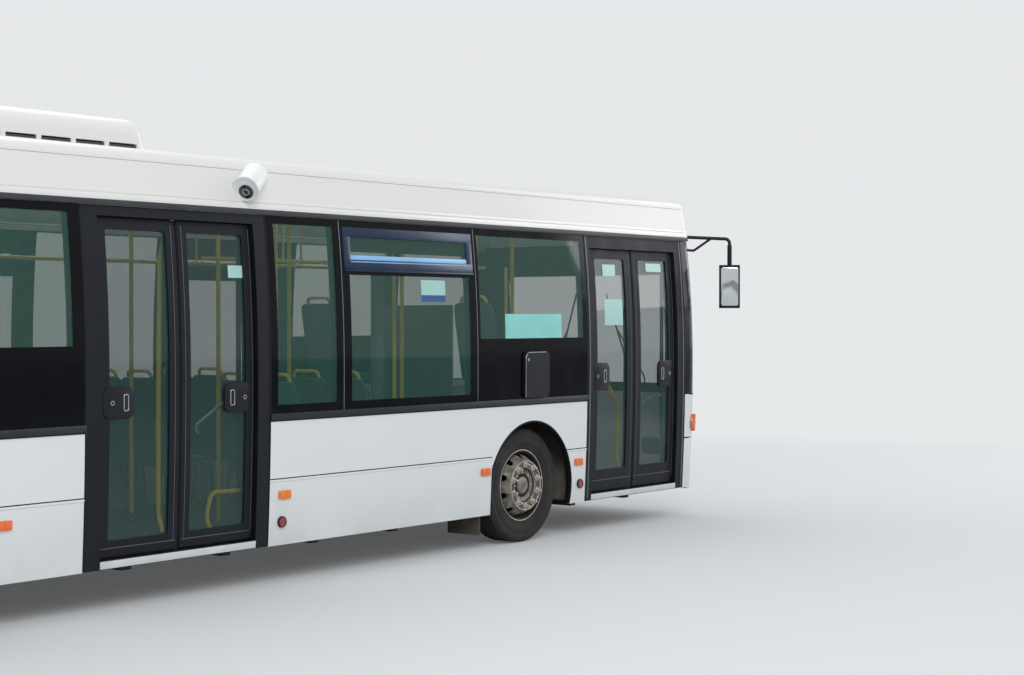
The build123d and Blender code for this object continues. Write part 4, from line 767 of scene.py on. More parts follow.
def body_trim():
    """Mouldings, joint strips, gutters, seams and sills of the body sides."""
    ends = {round(x, 4) for x in (REAR_X, CORNER_X, MIDDLE_PORTAL[0], FRONT_PORTAL[0])}
    joints = sorted({(side, round(front, 4)) for side, rear, front in PANES})
    strips = [(side, x - 0.004, x + 0.004) for side, x in joints if x not in ends]
    whole = [(RIGHT, REAR_X, CORNER_X), (LEFT, REAR_X, CORNER_X)]
    skirts = []
    for side, rear, front in RUNS:
        stops = [rear]
        for axle in (REAR_AXLE_X, AXLE_X):
            if rear < axle < front:
                stops += [axle - ARCH_REAR, axle + ARCH_FRONT]
        stops.append(front)
        skirts += [(side, a, b) for a, b in zip(stops[::2], stops[1::2])]
    skirt_edges = [(side, a + 0.004, b - 0.004) for side, a, b in skirts]
    sills = [(RIGHT, *MIDDLE_JAMBS), (RIGHT, *FRONT_JAMBS)]
    bead_places = (FRONT_PORTAL[0] + 0.032, FRONT_PORTAL[1] - 0.030)
    beads = [(RIGHT, x - 0.010, x + 0.010) for x in bead_places]
    grooves = [(RIGHT, x - 0.006, x + 0.006) for x in (*MIDDLE_PORTAL, *FRONT_PORTAL)]
    gutter_z = (BAND_TOP + 0.001, GUTTER_TOP - 0.003)
    lip_z, rib_z = (GUTTER_TOP, GUTTER_TOP + 0.045), (GUTTER_TOP + 0.047, GUTTER_TOP + 0.070)
    seam_z, edge_z = (SEAM_LINE_Z - 0.003, SEAM_LINE_Z), (SEAM_Z - 0.022, SEAM_Z - 0.005)
    # Columns: name, finish, stretches, bottom, top, inner and outer depth, edge
    for name, finish, stretches, *shape in [
        ("pane_joint_strips", JOINT_METAL, strips, LEDGE_TOP, BAND_TOP, -0.006, 0.0022, 0.001),
        ("waist_mouldings", LEDGE_PAINT, RUNS, WAIST_Z + 0.004, LEDGE_TOP, -0.004, 0.014, 0.006),
        # Under the waist moulding: a black strip of painted shadow
        ("waist_seals", SEAL_RUBBER, RUNS, WAIST_Z - 0.004, WAIST_Z + 0.006, -0.004, 0.004, 0.001),
        ("side_gutters", GUTTER_RUBBER, whole, *gutter_z, -0.004, 0.018, 0.005),
        ("roof_edge_lips", ROOF_PAINT, whole, *lip_z, -0.006, 0.012, 0.010),
        ("roof_edge_ribs", ROOF_PAINT, whole, *rib_z, -0.010, 0.004, 0.004),
        ("roof_panel_seams", SEAM_SEALANT, whole, *seam_z, -0.004, 0.0012, 0),
        # Over each skirt: a dark strip, the seam's joint with painted shade in it
        ("skirt_seam_gaps", SEAL_RUBBER, skirts, SEAM_Z - 0.004, SEAM_Z + 0.003, -0.004, 0.001, 0),
        ("skirt_top_edges", WHITE_PAINT, skirt_edges, *edge_z, -0.003, 0.005, 0.004),
        ("door_sills", SILL_METAL, sills, 0.281, 0.330, -0.002, 0.006, 0.003),
        ("door_frame_beads", BEAD_METAL, beads, 0.300, BAND_TOP - 0.004, -0.003, 0.005, 0.003),
        ("door_frame_joints", SEAL_RUBBER, grooves, 0.280, BAND_TOP - 0.002, -0.006, 0.0015, 0),
    ]:
        settle(join([side_bar(*stretch, *shape) for stretch in stretches]), name, finish)


body_trim()


def window_frits():
    """The black printed borders of the side panes, round the clear part of each."""
    low_glass, high_glass, front_glass, clear_top = 1.270, 1.706, 1.713, 2.550
    joint_half, bar_half = 0.004, 0.037
    # Columns: bottom of the clear part, rear margin, front margin, whether a bar crosses it
    clear = [
        (low_glass, 0.075, 0.075, False),
        (low_glass, 0.087, 0.091, True),
        (front_glass, 0.039, 0.064, False),
        (high_glass, 0.080, 0.080, False),
        (high_glass, 0.080, 0.080, True),
        (high_glass, 0.080, 0.099, False),
        *[(high_glass, 0.080, 0.080, n == 1) for n in range(3)],
        *[(low_glass, 0.080, 0.080, n != 1) for n in range(3)],
        (front_glass, 0.080, 0.080, False),
        (low_glass, 0.080, 0.120, False),
    ]
    bars = []
    for (side, rear, front), (bottom, rear_margin, front_margin, barred) in zip(PANES, clear):
        a, b = rear + rear_margin, front - front_margin
        # Columns: rear end, front end, bottom, top
        spans = [
            (rear + joint_half, a, LEDGE_TOP, BAND_TOP),
            (b, front - joint_half, LEDGE_TOP, BAND_TOP),
            (a, b, LEDGE_TOP, bottom),
            (a, b, clear_top, BAND_TOP),
        ]
        if barred:
            spans.append((a, b, HOPPER_BOTTOM - bar_half, HOPPER_BOTTOM + bar_half))
        bars += [side_bar(side, *span, -0.0015, 0.0012, 0) for span in spans]
    settle(join(bars), "window_frits", FRIT)


window_frits()


def hoppers():
    """The opening top windows: a frame, a pane leaning in with a painted sky reflection, a bright
    strip of painted reflection at its foot, and a dark sheet of painted shade above.
    """
    margin, bar, lean = 0.034, 0.075, math.radians(77)
    hinge_z, pane_top = 2.300, 2.480
    frames, panes, sky_strips, shade_sheets = [], [], [], []
    for side, rear, front in HOPPER_PANES:
        low, high = rear + margin, front - margin
        outline = (side, low, high, HOPPER_BOTTOM, HOPPER_TOP)
        sill = (side, low, high, HOPPER_BOTTOM - 0.012, HOPPER_BOTTOM)
        frames.append(side_frame(*outline, bar, -0.006, 0.005, 0.003))
        frames.append(side_bar(*sill, -0.006, 0.010, 0.003))
        y_low, y_high = measured(0, side, HALF - 0.022, HALF - 0.030)
        pane = slab((low + 0.07, y_low, hinge_z), (high - 0.07, y_high, pane_top), 0.001)
        pick(pane)
        hinge = (0, side * (HALF - 0.026), hinge_z)
        bpy.ops.transform.rotate(value=-side * lean, orient_axis="X", center_override=hinge)
        bpy.ops.object.transform_apply(location=True, rotation=True, scale=True)
        panes.append(pane)
        # A light blue strip of painted reflection on the glass along the pane's foot
        foot = (side, low + 0.074, high - 0.074, HOPPER_BOTTOM + 0.073, HOPPER_BOTTOM + 0.108)
        sky_strips.append(side_bar(*foot, -0.0015, 0.002, 0.001))
        # A dark sheet just inside the glass: painted shade over the window's top
        shade_sheets.append(side_bar(side, rear + 0.09, front - 0.09, 2.375, 2.560, -0.062, -0.058, 0))
    settle(join(sky_strips), "hopper_painted_sky_strips", HOPPER_PAINTED_SKY)
    settle(join(shade_sheets), "hopper_painted_shade_sheets", BOX_PLASTIC)
    settle(join(frames), "hopper_frames", HOPPER_PAINT)
    settle(join(panes), "hopper_panes", HOPPER_PAINTED_SKY)


hoppers()


def leaf_dressing():
    """Seals, beads, handles and rails of the four door leaves; each rides on its leaf."""
    gap, meeting_gap = 0.008, 0.032
    face = -DOOR_RECESS
    # Columns: door, jambs, leaf top, lower bead, handle plate's lower edge and height
    doors = [
        ("middle", MIDDLE_JAMBS, 2.530, 0.402, 1.235, 0.205),
        ("front", FRONT_JAMBS, 2.490, 0.438, 1.245, 0.240),
    ]
    for door, (rear, front), top, bead_z, plate_z, plate_height in doors:
        width = (front - rear - 2 * gap - meeting_gap) / 2
        # Columns: end, hinge's place, way from the hinge to the meeting edge
        for end, hinge_x, way in (("rear", rear + gap, 1), ("front", front - gap, -1)):
            body = f"{door}_door_{end}_leaf"
            meeting = hinge_x + way * width
            low, high = sorted((hinge_x, meeting))
            inset = (low + 0.01, high - 0.01)
            # Columns: rear end, front end, bottom, top, depths behind the leaf's face, edge
            seals = [
                (*measured(meeting, way, -0.006, 0.013), LEAF_BOTTOM, top, -0.036, -0.002, 0.004),
                (*inset, 0.338, LEAF_BOTTOM + 0.004, -0.030, -0.012, 0.003),
                (*inset, top - 0.004, top + 0.007, -0.030, -0.012, 0.003),
            ]
            beads = [
                (*measured(meeting, -way, 0.028, 0.033), LEAF_BOTTOM + 0.06, top - 0.03),
                (*measured(hinge_x, way, 0.012, 0.017), LEAF_BOTTOM + 0.06, top - 0.03),
                (low + 0.012, high - 0.012, bead_z, bead_z + 0.006),
            ]
            beads = [(*bead, -0.002, 0.002, 0.001) for bead in beads]
            for strips, kind, finish in (
                (seals, "seals", SEAL_RUBBER),
                (beads, "beads", BEAD_METAL),
            ):
                bars = [
                    side_bar(RIGHT, *place, face + inner, face + outer, edge)
                    for *place, inner, outer, edge in strips
                ]
                settle(join(bars), f"{body}_{kind}", finish, body)
            # Handle: a black plate over stile and glass, a D grip and a key ring
            plate_x = measured(hinge_x, way, 0.020, 0.282)
            outline = (RIGHT, *plate_x, plate_z, plate_z + plate_height)
            plate = side_bar(*outline, face - 0.014, face + 0.006, 0.003, 0.055)
            settle(plate, f"{body}_handle_plate", BOX_PLASTIC, body)
            grip_x, grip_z = hinge_x + way * 0.210, plate_z + plate_height / 2
            y = -(HALF + skin(grip_z) + face)
            loop = [(-0.018, -0.052), (0.018, -0.052), (0.018, 0.052)]
            loop += [(-0.018, 0.052), (-0.018, -0.046)]
            grip = tube([(grip_x + x, y - 0.006, grip_z + z) for x, z in loop], 0.0045, 0.012)
            ring = [(0.004, 0.010), (0.010, 0.010), (0.010, 0.016), (0.004, 0.016)]
            lock = turned(ring, (hinge_x + way * 0.095, y, grip_z), -1, 24)
            settle(join([grip, lock]), f"{body}_handle", HANDLE_METAL, body)


leaf_dressing()


def leaf_rails():
    """Grab rails inside the door leaves, each bent through points read off its own leaf."""
    # Columns: leaf, finish, radius, points ahead of the front axle, out from the skin and up
    rails = [
        (
            "middle_door_rear_leaf",
            YELLOW_RAIL,
            0.017,
            [
                (-3.93, -0.085, 2.40), (-3.93, -0.135, 2.30), (-3.965, -0.145, 1.205),
                (-3.958, -0.135, 0.56), (-3.958, -0.085, 0.46),
            ],
        ),
        (
            "middle_door_front_leaf",
            HANDLE_METAL,
            0.010,
            [
                (-3.66, -0.085, 1.10), (-3.66, -0.13, 1.145), (-3.38, -0.13, 1.305),
                (-3.34, -0.085, 1.30),
            ],
        ),
        (
            "middle_door_front_leaf",
            YELLOW_RAIL,
            0.015,
            [
                (-3.535, -0.08, 0.45), (-3.535, -0.13, 0.50), (-3.49, -0.13, 0.685),
                (-3.20, -0.13, 0.680), (-3.15, -0.08, 0.680),
            ],
        ),
        (
            "front_door_rear_leaf",
            YELLOW_RAIL,
            0.017,
            [
                (1.13, -0.08, 1.42), (1.20, -0.135, 1.40), (1.36, -0.145, 1.29),
                (1.545, -0.145, 1.09), (1.535, -0.135, 0.56), (1.535, -0.08, 0.52),
            ],
        ),
        (
            "front_door_rear_leaf",
            YELLOW_RAIL,
            0.009,
            [
                (1.10, -0.08, 1.30), (1.22, -0.12, 1.26), (1.37, -0.13, 1.187),
                (1.42, -0.13, 1.195),
            ],
        ),
        (
            "front_door_front_leaf",
            HANDLE_METAL,
            0.010,
            [
                (1.75, -0.08, 1.02), (1.78, -0.13, 1.04), (2.10, -0.13, 1.16),
                (2.18, -0.08, 1.16),
            ],
        ),
    ]
    for number, (body, finish, radius, points) in enumerate(rails):
        places = [(AXLE_X + ahead, -(HALF + skin(z) + out), z) for ahead, out, z in points]
        settle(tube(places, radius, 0.05), f"{body}_rail_{number}", finish, body)


leaf_rails()


def side_lamp_dressing():
    """Two-part lenses over the side lamps and rings round the red markers."""
    lamp_z, lamp_face, marker_z = (0.608, 0.656), 0.012, 0.44
    ring = [(0.0, 0.033), (0.017, 0.033), (0.019, 0.036), (0.014, 0.040), (0.0, 0.041)]
    lamps = [REAR_AXLE_X + 0.688, MIDDLE_PORTAL[1] + 0.152, AXLE_X - 0.591, AXLE_X + 0.724]
    lenses, rings = [], []
    for side in (RIGHT, LEFT):
        for x in lamps:
            for rear, front in ((x - 0.054, x - 0.004), (x + 0.004, x + 0.054)):
                depths = (lamp_face - 0.002, lamp_face + 0.004, 0.003)
                lenses.append(side_bar(side, rear, front, *lamp_z, *depths))
        for x in (MIDDLE_PORTAL[1] + 0.131, AXLE_X + 0.754):
            rings.append(turned(ring, (x, side * (HALF + skin(marker_z)), marker_z), side, 32))
    settle(join(lenses), "side_lamp_lenses", ORANGE_LENS)
    settle(join(rings), "round_marker_rims", BLACK_PLASTIC)


side_lamp_dressing()


def wheels():
    """Tyres with grooved treads, rims, pressed discs with hand holes, nuts and hubs.

    Each profile is rows of distance outward from the tyre's middle and radius.
    """
    sidewall = [
        (0.093, 0.2868), (0.1063, 0.2995), (0.112, 0.306), (0.119, 0.312), (0.122, 0.320),
        (0.1225, 0.326), (0.128, 0.338), (0.1335, 0.356), (0.1355, 0.358), (0.1372, 0.380),
        (0.1372, 0.398), (0.1350, 0.400), (0.1335, 0.424), (0.1352, 0.427), (0.1340, 0.441),
        (0.1290, 0.454), (0.1215, 0.465), (0.1100, 0.4745),
    ]
    tread = []
    for groove in (0.082, 0.030):
        tread += [(groove + 0.006, 0.4775), (groove + 0.004, 0.466)]
        tread += [(groove - 0.004, 0.466), (groove - 0.006, 0.4778)]
    half = sidewall + tread
    tyre_shape = half + [(-along, radius) for along, radius in reversed(half)] + [half[0]]
    lip, seat = 0.298, 0.286
    barrel = [
        (0.108, lip), (0.110, 0.2985), (0.111, 0.294), (0.109, 0.280), (0.098, 0.274),
        (0.070, 0.268), (-0.070, 0.268), (-0.098, 0.274), (-0.108, 0.280), (-0.108, lip),
        (-0.095, seat), (0.095, seat), (0.108, lip),
    ]
    front_disc = [
        (0.020, 0.2675), (0.034, 0.2675), (0.060, 0.262), (0.092, 0.247), (0.122, 0.228),
        (0.141, 0.214), (0.150, 0.2115), (0.1570, 0.2095), (0.1600, 0.206), (0.1590, 0.201),
        (0.1530, 0.198), (0.1510, 0.192), (0.1510, 0.154), (0.148, 0.149), (0.132, 0.143),
        (0.122, 0.136), (0.118, 0.100), (0.118, 0.072), (0.128, 0.066), (0.131, 0.060),
        (0.131, 0.022), (0.126, 0.018), (0.126, 0.001), (0.070, 0.001), (0.070, 0.088),
        (0.110, 0.092), (0.110, 0.150), (0.138, 0.160), (0.140, 0.196), (0.126, 0.208),
        (0.100, 0.232), (0.070, 0.250), (0.040, 0.2600), (0.020, 0.2600), (0.020, 0.2675),
    ]
    rear_disc = [
        (-0.050, 0.2675), (-0.040, 0.2675), (-0.044, 0.260), (-0.080, 0.244), (-0.120, 0.226),
        (-0.140, 0.214), (-0.143, 0.205), (-0.143, 0.146), (-0.130, 0.140), (-0.030, 0.130),
        (0.030, 0.124), (0.060, 0.116), (0.070, 0.104), (0.070, 0.060), (0.082, 0.052),
        (0.082, 0.001), (-0.154, 0.001), (-0.154, 0.210), (-0.100, 0.246), (-0.066, 0.2600),
        (-0.050, 0.2675),
    ]
    drum_shape = [
        (-0.060, 0.2600), (0.004, 0.2600), (0.008, 0.2560), (0.008, 0.1400), (0.000, 0.1400),
        (-0.060, 0.2500), (-0.060, 0.2600),
    ]
    rim_edge = [(0.108, 0.2985), (0.1135, 0.2995), (0.115, 0.296), (0.1135, 0.292), (0.108, 0.291)]
    collar = [
        (0.1560, 0.2105), (0.1612, 0.2080), (0.1618, 0.2040), (0.1600, 0.1995), (0.1570, 0.1995),
    ]
    cup_wall = [(0.124, 0.1365), (0.134, 0.1425), (0.1355, 0.1420), (0.1255, 0.1355)]
    stud_shape = [(0.0, 0.010), (0.046, 0.010), (0.049, 0.007), (0.049, 0.0005)]
    washer_shape = [(0.0, 0.026), (0.003, 0.026), (0.004, 0.024), (0.004, 0.012)]
    nut_circle, nut_count, bolt_count = 0.1735, 10, 8
    # Columns: end, axle, disc, nut face, hand holes' circle, hub floor, bolts' height and circle
    for end, axle, disc, nut_face, hole_circle, hub_floor, bolt_tall, bolt_circle in (
        ("front", AXLE_X, front_disc, 0.151, 0.246, 0.118, 0.008, 0.108),
        ("rear", REAR_AXLE_X, rear_disc, -0.143, 0.238, 0.070, 0.007, 0.085),
    ):
        centre = (axle, -TYRE_Y, TYRE_RADIUS)
        tyre = turned(tyre_shape, centre, -1, 96)
        shell = turned(barrel, centre, -1, 72)
        plate = turned(disc, centre, -1, 72)
        hole = rod(20, 0.027, 0.40, (axle, -TYRE_Y, TYRE_RADIUS + hole_circle))
        cut_away(plate, set_round(hole, 10, centre))
        nut_y, nut_z = -TYRE_Y - nut_face, TYRE_RADIUS + nut_circle
        nut = soften(rod(6, 0.0185, 0.026, (axle, nut_y - 0.011, nut_z)), 0.002)
        stud = turned(stud_shape, (axle, nut_y, nut_z), -1, 12)
        washer = turned(washer_shape, (axle, nut_y, nut_z), -1, 16)
        nuts = set_round(join([nut, stud, washer]), nut_count, centre)
        top, tip = hub_floor + bolt_tall, hub_floor + bolt_tall + 0.001
        bolt_shape = [(hub_floor, 0.008), (top, 0.008), (tip, 0.006), (tip, 0.0005)]
        bolt = turned(bolt_shape, (axle, -TYRE_Y, TYRE_RADIUS + bolt_circle), -1, 10)
        bolts = set_round(bolt, bolt_count, centre)
        edge = turned(rim_edge, centre, -1, 72)
        low, high = nut_face - 0.001, nut_face + 0.0015
        ring = [(low, 0.1975), (high, 0.1965), (high, 0.1555), (low, 0.1545)]
        face = turned(ring, centre, -1, 72)
        low, high = hub_floor - 0.001, hub_floor + 0.0015
        ring = [(low, 0.1000), (high, 0.0995), (high, 0.0725), (low, 0.072)]
        hollow = turned(ring, centre, -1, 48)
        about = Matrix.Rotation(math.pi, 4, "Z")
        if end == "front":
            edge = join([edge, turned(collar, centre, -1, 72)])
            walls = [turned(shape, centre, -1, 48) for shape in (cup_wall, drum_shape)]
            hollow = join([hollow, *walls])
        else:
            # The inner twin faces the other way, so it is the outer one turned about the middle
            twin = Matrix.Translation((2 * axle, 2 * TWIN_MIDDLE_Y, 0)) @ about
            tyre, shell, plate = [join([own, copy_of(own, twin)]) for own in (tyre, shell, plate)]
        half_turn = Matrix.Translation((2 * axle, 0, 0)) @ about
        # The rim's barrel and the hollows behind the disc take painted shade; the rim's lip and the
        # front collar take a painted highlight
        for piece, kind, finish in [
            (face, "face", FACE_STEEL),
            (hollow, "hollow", PAINTED_SHADE_STEEL),
            (tyre, "tyre", TYRE),
            (shell, "rim", PAINTED_SHADE_STEEL),
            (plate, "disc", WHEEL),
            (edge, "rim_edge", PAINTED_HIGHLIGHT_STEEL),
            (join([nuts, bolts]), "nuts", NUT_STEEL),
        ]:
            for own, hand in ((piece, "right"), (copy_of(piece, half_turn), "left")):
                settle(own, f"{end}_{hand}_wheel_{kind}", finish, f"{end}_{hand}_wheel", 35)
                if kind in ("tyre", "rim"):
                    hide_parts(f"{end}_{hand}_{kind}" + ("s" if end == "rear" else ""))


wheels()


def arch_trim():
    """A rubber lip round each wheel arch, and a mud flap behind each wheel."""
    radius, ahead, height, steps = 0.592, 0.045, 0.430, 28
    inside = radius - 0.008
    start = math.asin((SKIRT_BOTTOM - height) / radius)
    stop = math.pi - math.acos((ARCH_REAR + ahead) / radius)
    lips, flaps = [], []
    for axle in (AXLE_X, REAR_AXLE_X):
        for side in (RIGHT, LEFT):
            y, rear_x = side * (HALF + 0.004), axle - ARCH_REAR + 0.006
            points = []
            for number in range(steps + 1):
                angle = start + (stop - start) * number / steps
                x = axle + ahead + inside * math.cos(angle)
                points.append((x, y, height + inside * math.sin(angle)))
            points.append((rear_x, y, points[-1][2] - 0.02))
            points.append((rear_x, y, SKIRT_BOTTOM + 0.004))
            lip = line_through(points)
            bpy.ops.mesh.select_all(action="SELECT")
            inward = {"value": (0, -side * 0.055, 0)}
            bpy.ops.mesh.extrude_region_move(TRANSFORM_OT_translate=inward)
            bpy.ops.mesh.select_all(action="SELECT")
            bpy.ops.mesh.normals_make_consistent(inside=False)
            bpy.ops.object.mode_set(mode="OBJECT")
            thick = lip.modifiers.new("thick", "SOLIDIFY")
            thick.thickness = 0.013
            thick.offset = 0
            apply_modifiers(lip)
            soften(lip, 0.003)
            for vertex in lip.data.vertices:
                vertex.co.y += side * skin(vertex.co.z)
            lips.append(lip)
    settle(join(lips), "arch_lips", SEAL_RUBBER)
    # Columns: flap's place, how far in it reaches, top, heights of its ribs
    for x, reach, top, rib_heights in [
        (AXLE_X - 0.606, 0.40, 0.50, (0.15, 0.19, 0.23, 0.27)),
        (REAR_AXLE_X - 0.640, 0.66, 0.62, ()),
    ]:
        for side in (RIGHT, LEFT):
            y_low, y_high = measured(0, side, HALF - 0.065, HALF - reach)
            flaps.append(slab((x, y_low, 0.115), (x + 0.009, y_high, top), 0.002))
            for z in rib_heights:
                low, high = (x - 0.003, y_low + 0.02, z), (x + 0.002, y_high - 0.02, z + 0.008)
                flaps.append(slab(low, high, 0.001))
    settle(join(flaps), "mud_flaps", FLAP_RUBBER)


arch_trim()


def front_line(z, out):
    """Points round the front from the right corner to the left at a height."""
    bow = math.asin((HALF - FRONT_CORNER) / (FRONT_BOW - FRONT_CORNER))
    corner_steps, bow_steps = 8, 12
    right, middle = [], []
    reach = FRONT_CORNER + skin(z) + out
    for number in range(corner_steps + 1):
        angle = -math.pi / 2 + (math.pi / 2 - bow) * number / corner_steps
        y = FRONT_CORNER - HALF + reach * math.sin(angle)
        right.append((CORNER_X + reach * math.cos(angle), y, z))
    reach = FRONT_BOW + skin(z) + out
    for number in range(1, bow_steps):
        angle = -bow + 2 * bow * number / bow_steps
        middle.append((X_FRONT - FRONT_BOW + reach * math.cos(angle), reach * math.sin(angle), z))
    return right + middle + [(x, -y, z) for x, y, z in reversed(right)]


def rear_line(z, out):
    """Points round the rear from the right corner to the left at a height."""
    right, corner_steps = [], 8
    reach = REAR_CORNER + skin(z) + out
    for number in range(corner_steps + 1):
        angle = -math.pi / 2 - math.pi / 2 * number / corner_steps
        y = REAR_CORNER - HALF + reach * math.sin(angle)
        right.append((REAR_X + reach * math.cos(angle), y, z))
    return right + [(x, -y, z) for x, y, z in reversed(right)]


def front_bar(y_low, y_high, z_low, z_high, inner, outer, edge=0.002, corner=0.0):
    """A bar on the bowed front between two depths from the skin."""
    rounded = (0, corner) if corner else None
    low, high = (X_FRONT + inner, y_low, z_low), (X_FRONT + outer, y_high, z_high)
    piece = pick(slab(low, high, edge, rounded))
    bpy.ops.object.mode_set(mode="EDIT")
    bpy.ops.mesh.select_all(action="SELECT")
    bpy.ops.mesh.subdivide(number_cuts=3)
    bpy.ops.object.mode_set(mode="OBJECT")
    for vertex in piece.data.vertices:
        vertex.co.x += skin(vertex.co.z) - vertex.co.y**2 / (2 * FRONT_BOW)
    return piece


def rear_bar(y_low, y_high, z_low, z_high, inner, outer, edge=0.002, corner=0.0):
    """A bar on the flat rear between two depths from the skin."""
    rounded = (0, corner) if corner else None
    low, high = (X_REAR - outer, y_low, z_low), (X_REAR - inner, y_high, z_high)
    piece = slab(low, high, edge, rounded)
    for vertex in piece.data.vertices:
        vertex.co.x -= skin(vertex.co.z)
    return piece


def front_trim():
    """Seams, seals, wipers, lamps, grille and blank plate of the front."""
    stub = (FRONT_PORTAL[1] + 0.002, CORNER_X, SEAM_Z - 0.006, SEAM_Z + 0.006)
    seams = [
        tube(front_line(SEAM_Z, 0.0), 0.003),
        tube(front_line(WAIST_Z + 0.002, 0.001), 0.006),
        side_bar(RIGHT, *stub, -0.004, 0.0015, 0),
    ]
    settle(join(seams), "front_seams", SEAL_RUBBER)
    settle(tube(front_line(BAND_TOP + 0.018, 0.002), 0.014), "front_gutter", GUTTER_RUBBER)
    screen_half, screen_low, screen_high, seal_width = 1.0, 1.250, 2.300, 0.012
    seals = [
        front_bar(-screen_half, screen_half, screen_low - seal_width, screen_low, -0.004, 0.003),
        front_bar(-screen_half, screen_half, screen_high, screen_high + seal_width, -0.004, 0.003),
        front_bar(-0.003, 0.003, screen_low, screen_high, -0.004, 0.002, 0.001),
    ]
    settle(join(seals), "screen_seals", SEAL_RUBBER)
    foot = [(0.0, 0.026), (0.030, 0.024), (0.034, 0.018), (0.034, 0.001)]
    arms = []
    for side in (RIGHT, LEFT):
        # Columns: ahead of the front, from the middle, up
        arm = [(-0.012, 0.62, 1.19), (0.030, 0.60, 1.30), (-0.006, 0.30, 1.76)]
        blade = [(0.006, 0.42, 1.40), (-0.030, 0.18, 2.12)]
        arms.append(tube([(X_FRONT + x, side * y, z) for x, y, z in arm], 0.008, 0.04))
        arms.append(tube([(X_FRONT + x, side * y, z) for x, y, z in blade], 0.009))
        arms.append(turned_toward(foot, (X_FRONT - 0.030, side * 0.62, 1.19), (1, 0, 0.1)))
    settle(join(arms), "wipers", BLACK_PLASTIC)
    lamp_z = 0.640
    rings, bowls = [], []
    for side in (RIGHT, LEFT):
        for y, radius in ((0.74, 0.062), (0.90, 0.062), (1.00, 0.030)):
            sag = y**2 / (2 * FRONT_BOW)
            place = (X_FRONT + skin(lamp_z) - sag - 0.006, side * y, lamp_z)
            inside = radius - 0.008
            ring = [(0.0, radius), (0.006, radius), (0.008, radius - 0.004)]
            ring += [(0.006, inside), (0.0, inside)]
            rings.append(turned_toward(ring, place, (1, 0, 0)))
            bowl = [(0.0, inside), (0.004, radius - 0.010), (0.007, radius * 0.5), (0.008, 0.001)]
            bowls.append(turned_toward(bowl, place, (1, 0, 0)))
    settle(join(rings), "head_lamp_rings", HANDLE_METAL)
    settle(join(bowls), "head_lamp_bowls", CLEAR_LENS)
    plate = front_bar(-0.26, 0.26, 0.38, 0.49, -0.002, 0.012, 0.002, 0.01)
    settle(plate, "front_plate", PLATE_WHITE)
    # Plate holder and grille. Columns: right end, left end, bottom, top, outer depth, edge
    bars = [
        (-0.27, 0.27, 0.370, 0.380, 0.016, 0.002),
        (-0.27, 0.27, 0.490, 0.500, 0.016, 0.002),
        (-0.27, -0.26, 0.370, 0.500, 0.016, 0.002),
        (0.26, 0.27, 0.370, 0.500, 0.016, 0.002),
        *[(-0.45, 0.45, z, z + 0.018, 0.006, 0.003) for z in (0.86, 0.90, 0.94, 0.98)],
    ]
    grille = [front_bar(*place, -0.002, outer, edge) for *place, outer, edge in bars]
    settle(join(grille), "front_grille", BLACK_PLASTIC)


front_trim()


def indicator_domes():
    """The bulging amber lenses of the front indicators, set on the corners."""
    low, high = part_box("front_indicators")
    z = (low[2] + high[2]) / 2
    turn, taller = math.radians(66), 1.35
    reach = FRONT_CORNER + skin(z) + 0.002
    dome = [(0.0, 0.056), (0.010, 0.055), (0.022, 0.047)]
    dome += [(0.030, 0.032), (0.034, 0.014), (0.035, 0.001)]
    domes = []
    for side in (RIGHT, LEFT):
        direction = (math.cos(turn), side * math.sin(turn), 0)
        foot_y = side * (HALF - FRONT_CORNER) + reach * direction[1]
        piece = turned_toward(dome, (CORNER_X + reach * direction[0], foot_y, z), direction, 32)
        for vertex in piece.data.vertices:
            vertex.co.z = z + (vertex.co.z - z) * taller
        domes.append(piece)
    settle(join(domes), "indicator_domes", ORANGE_LENS, smooth=50)


indicator_domes()


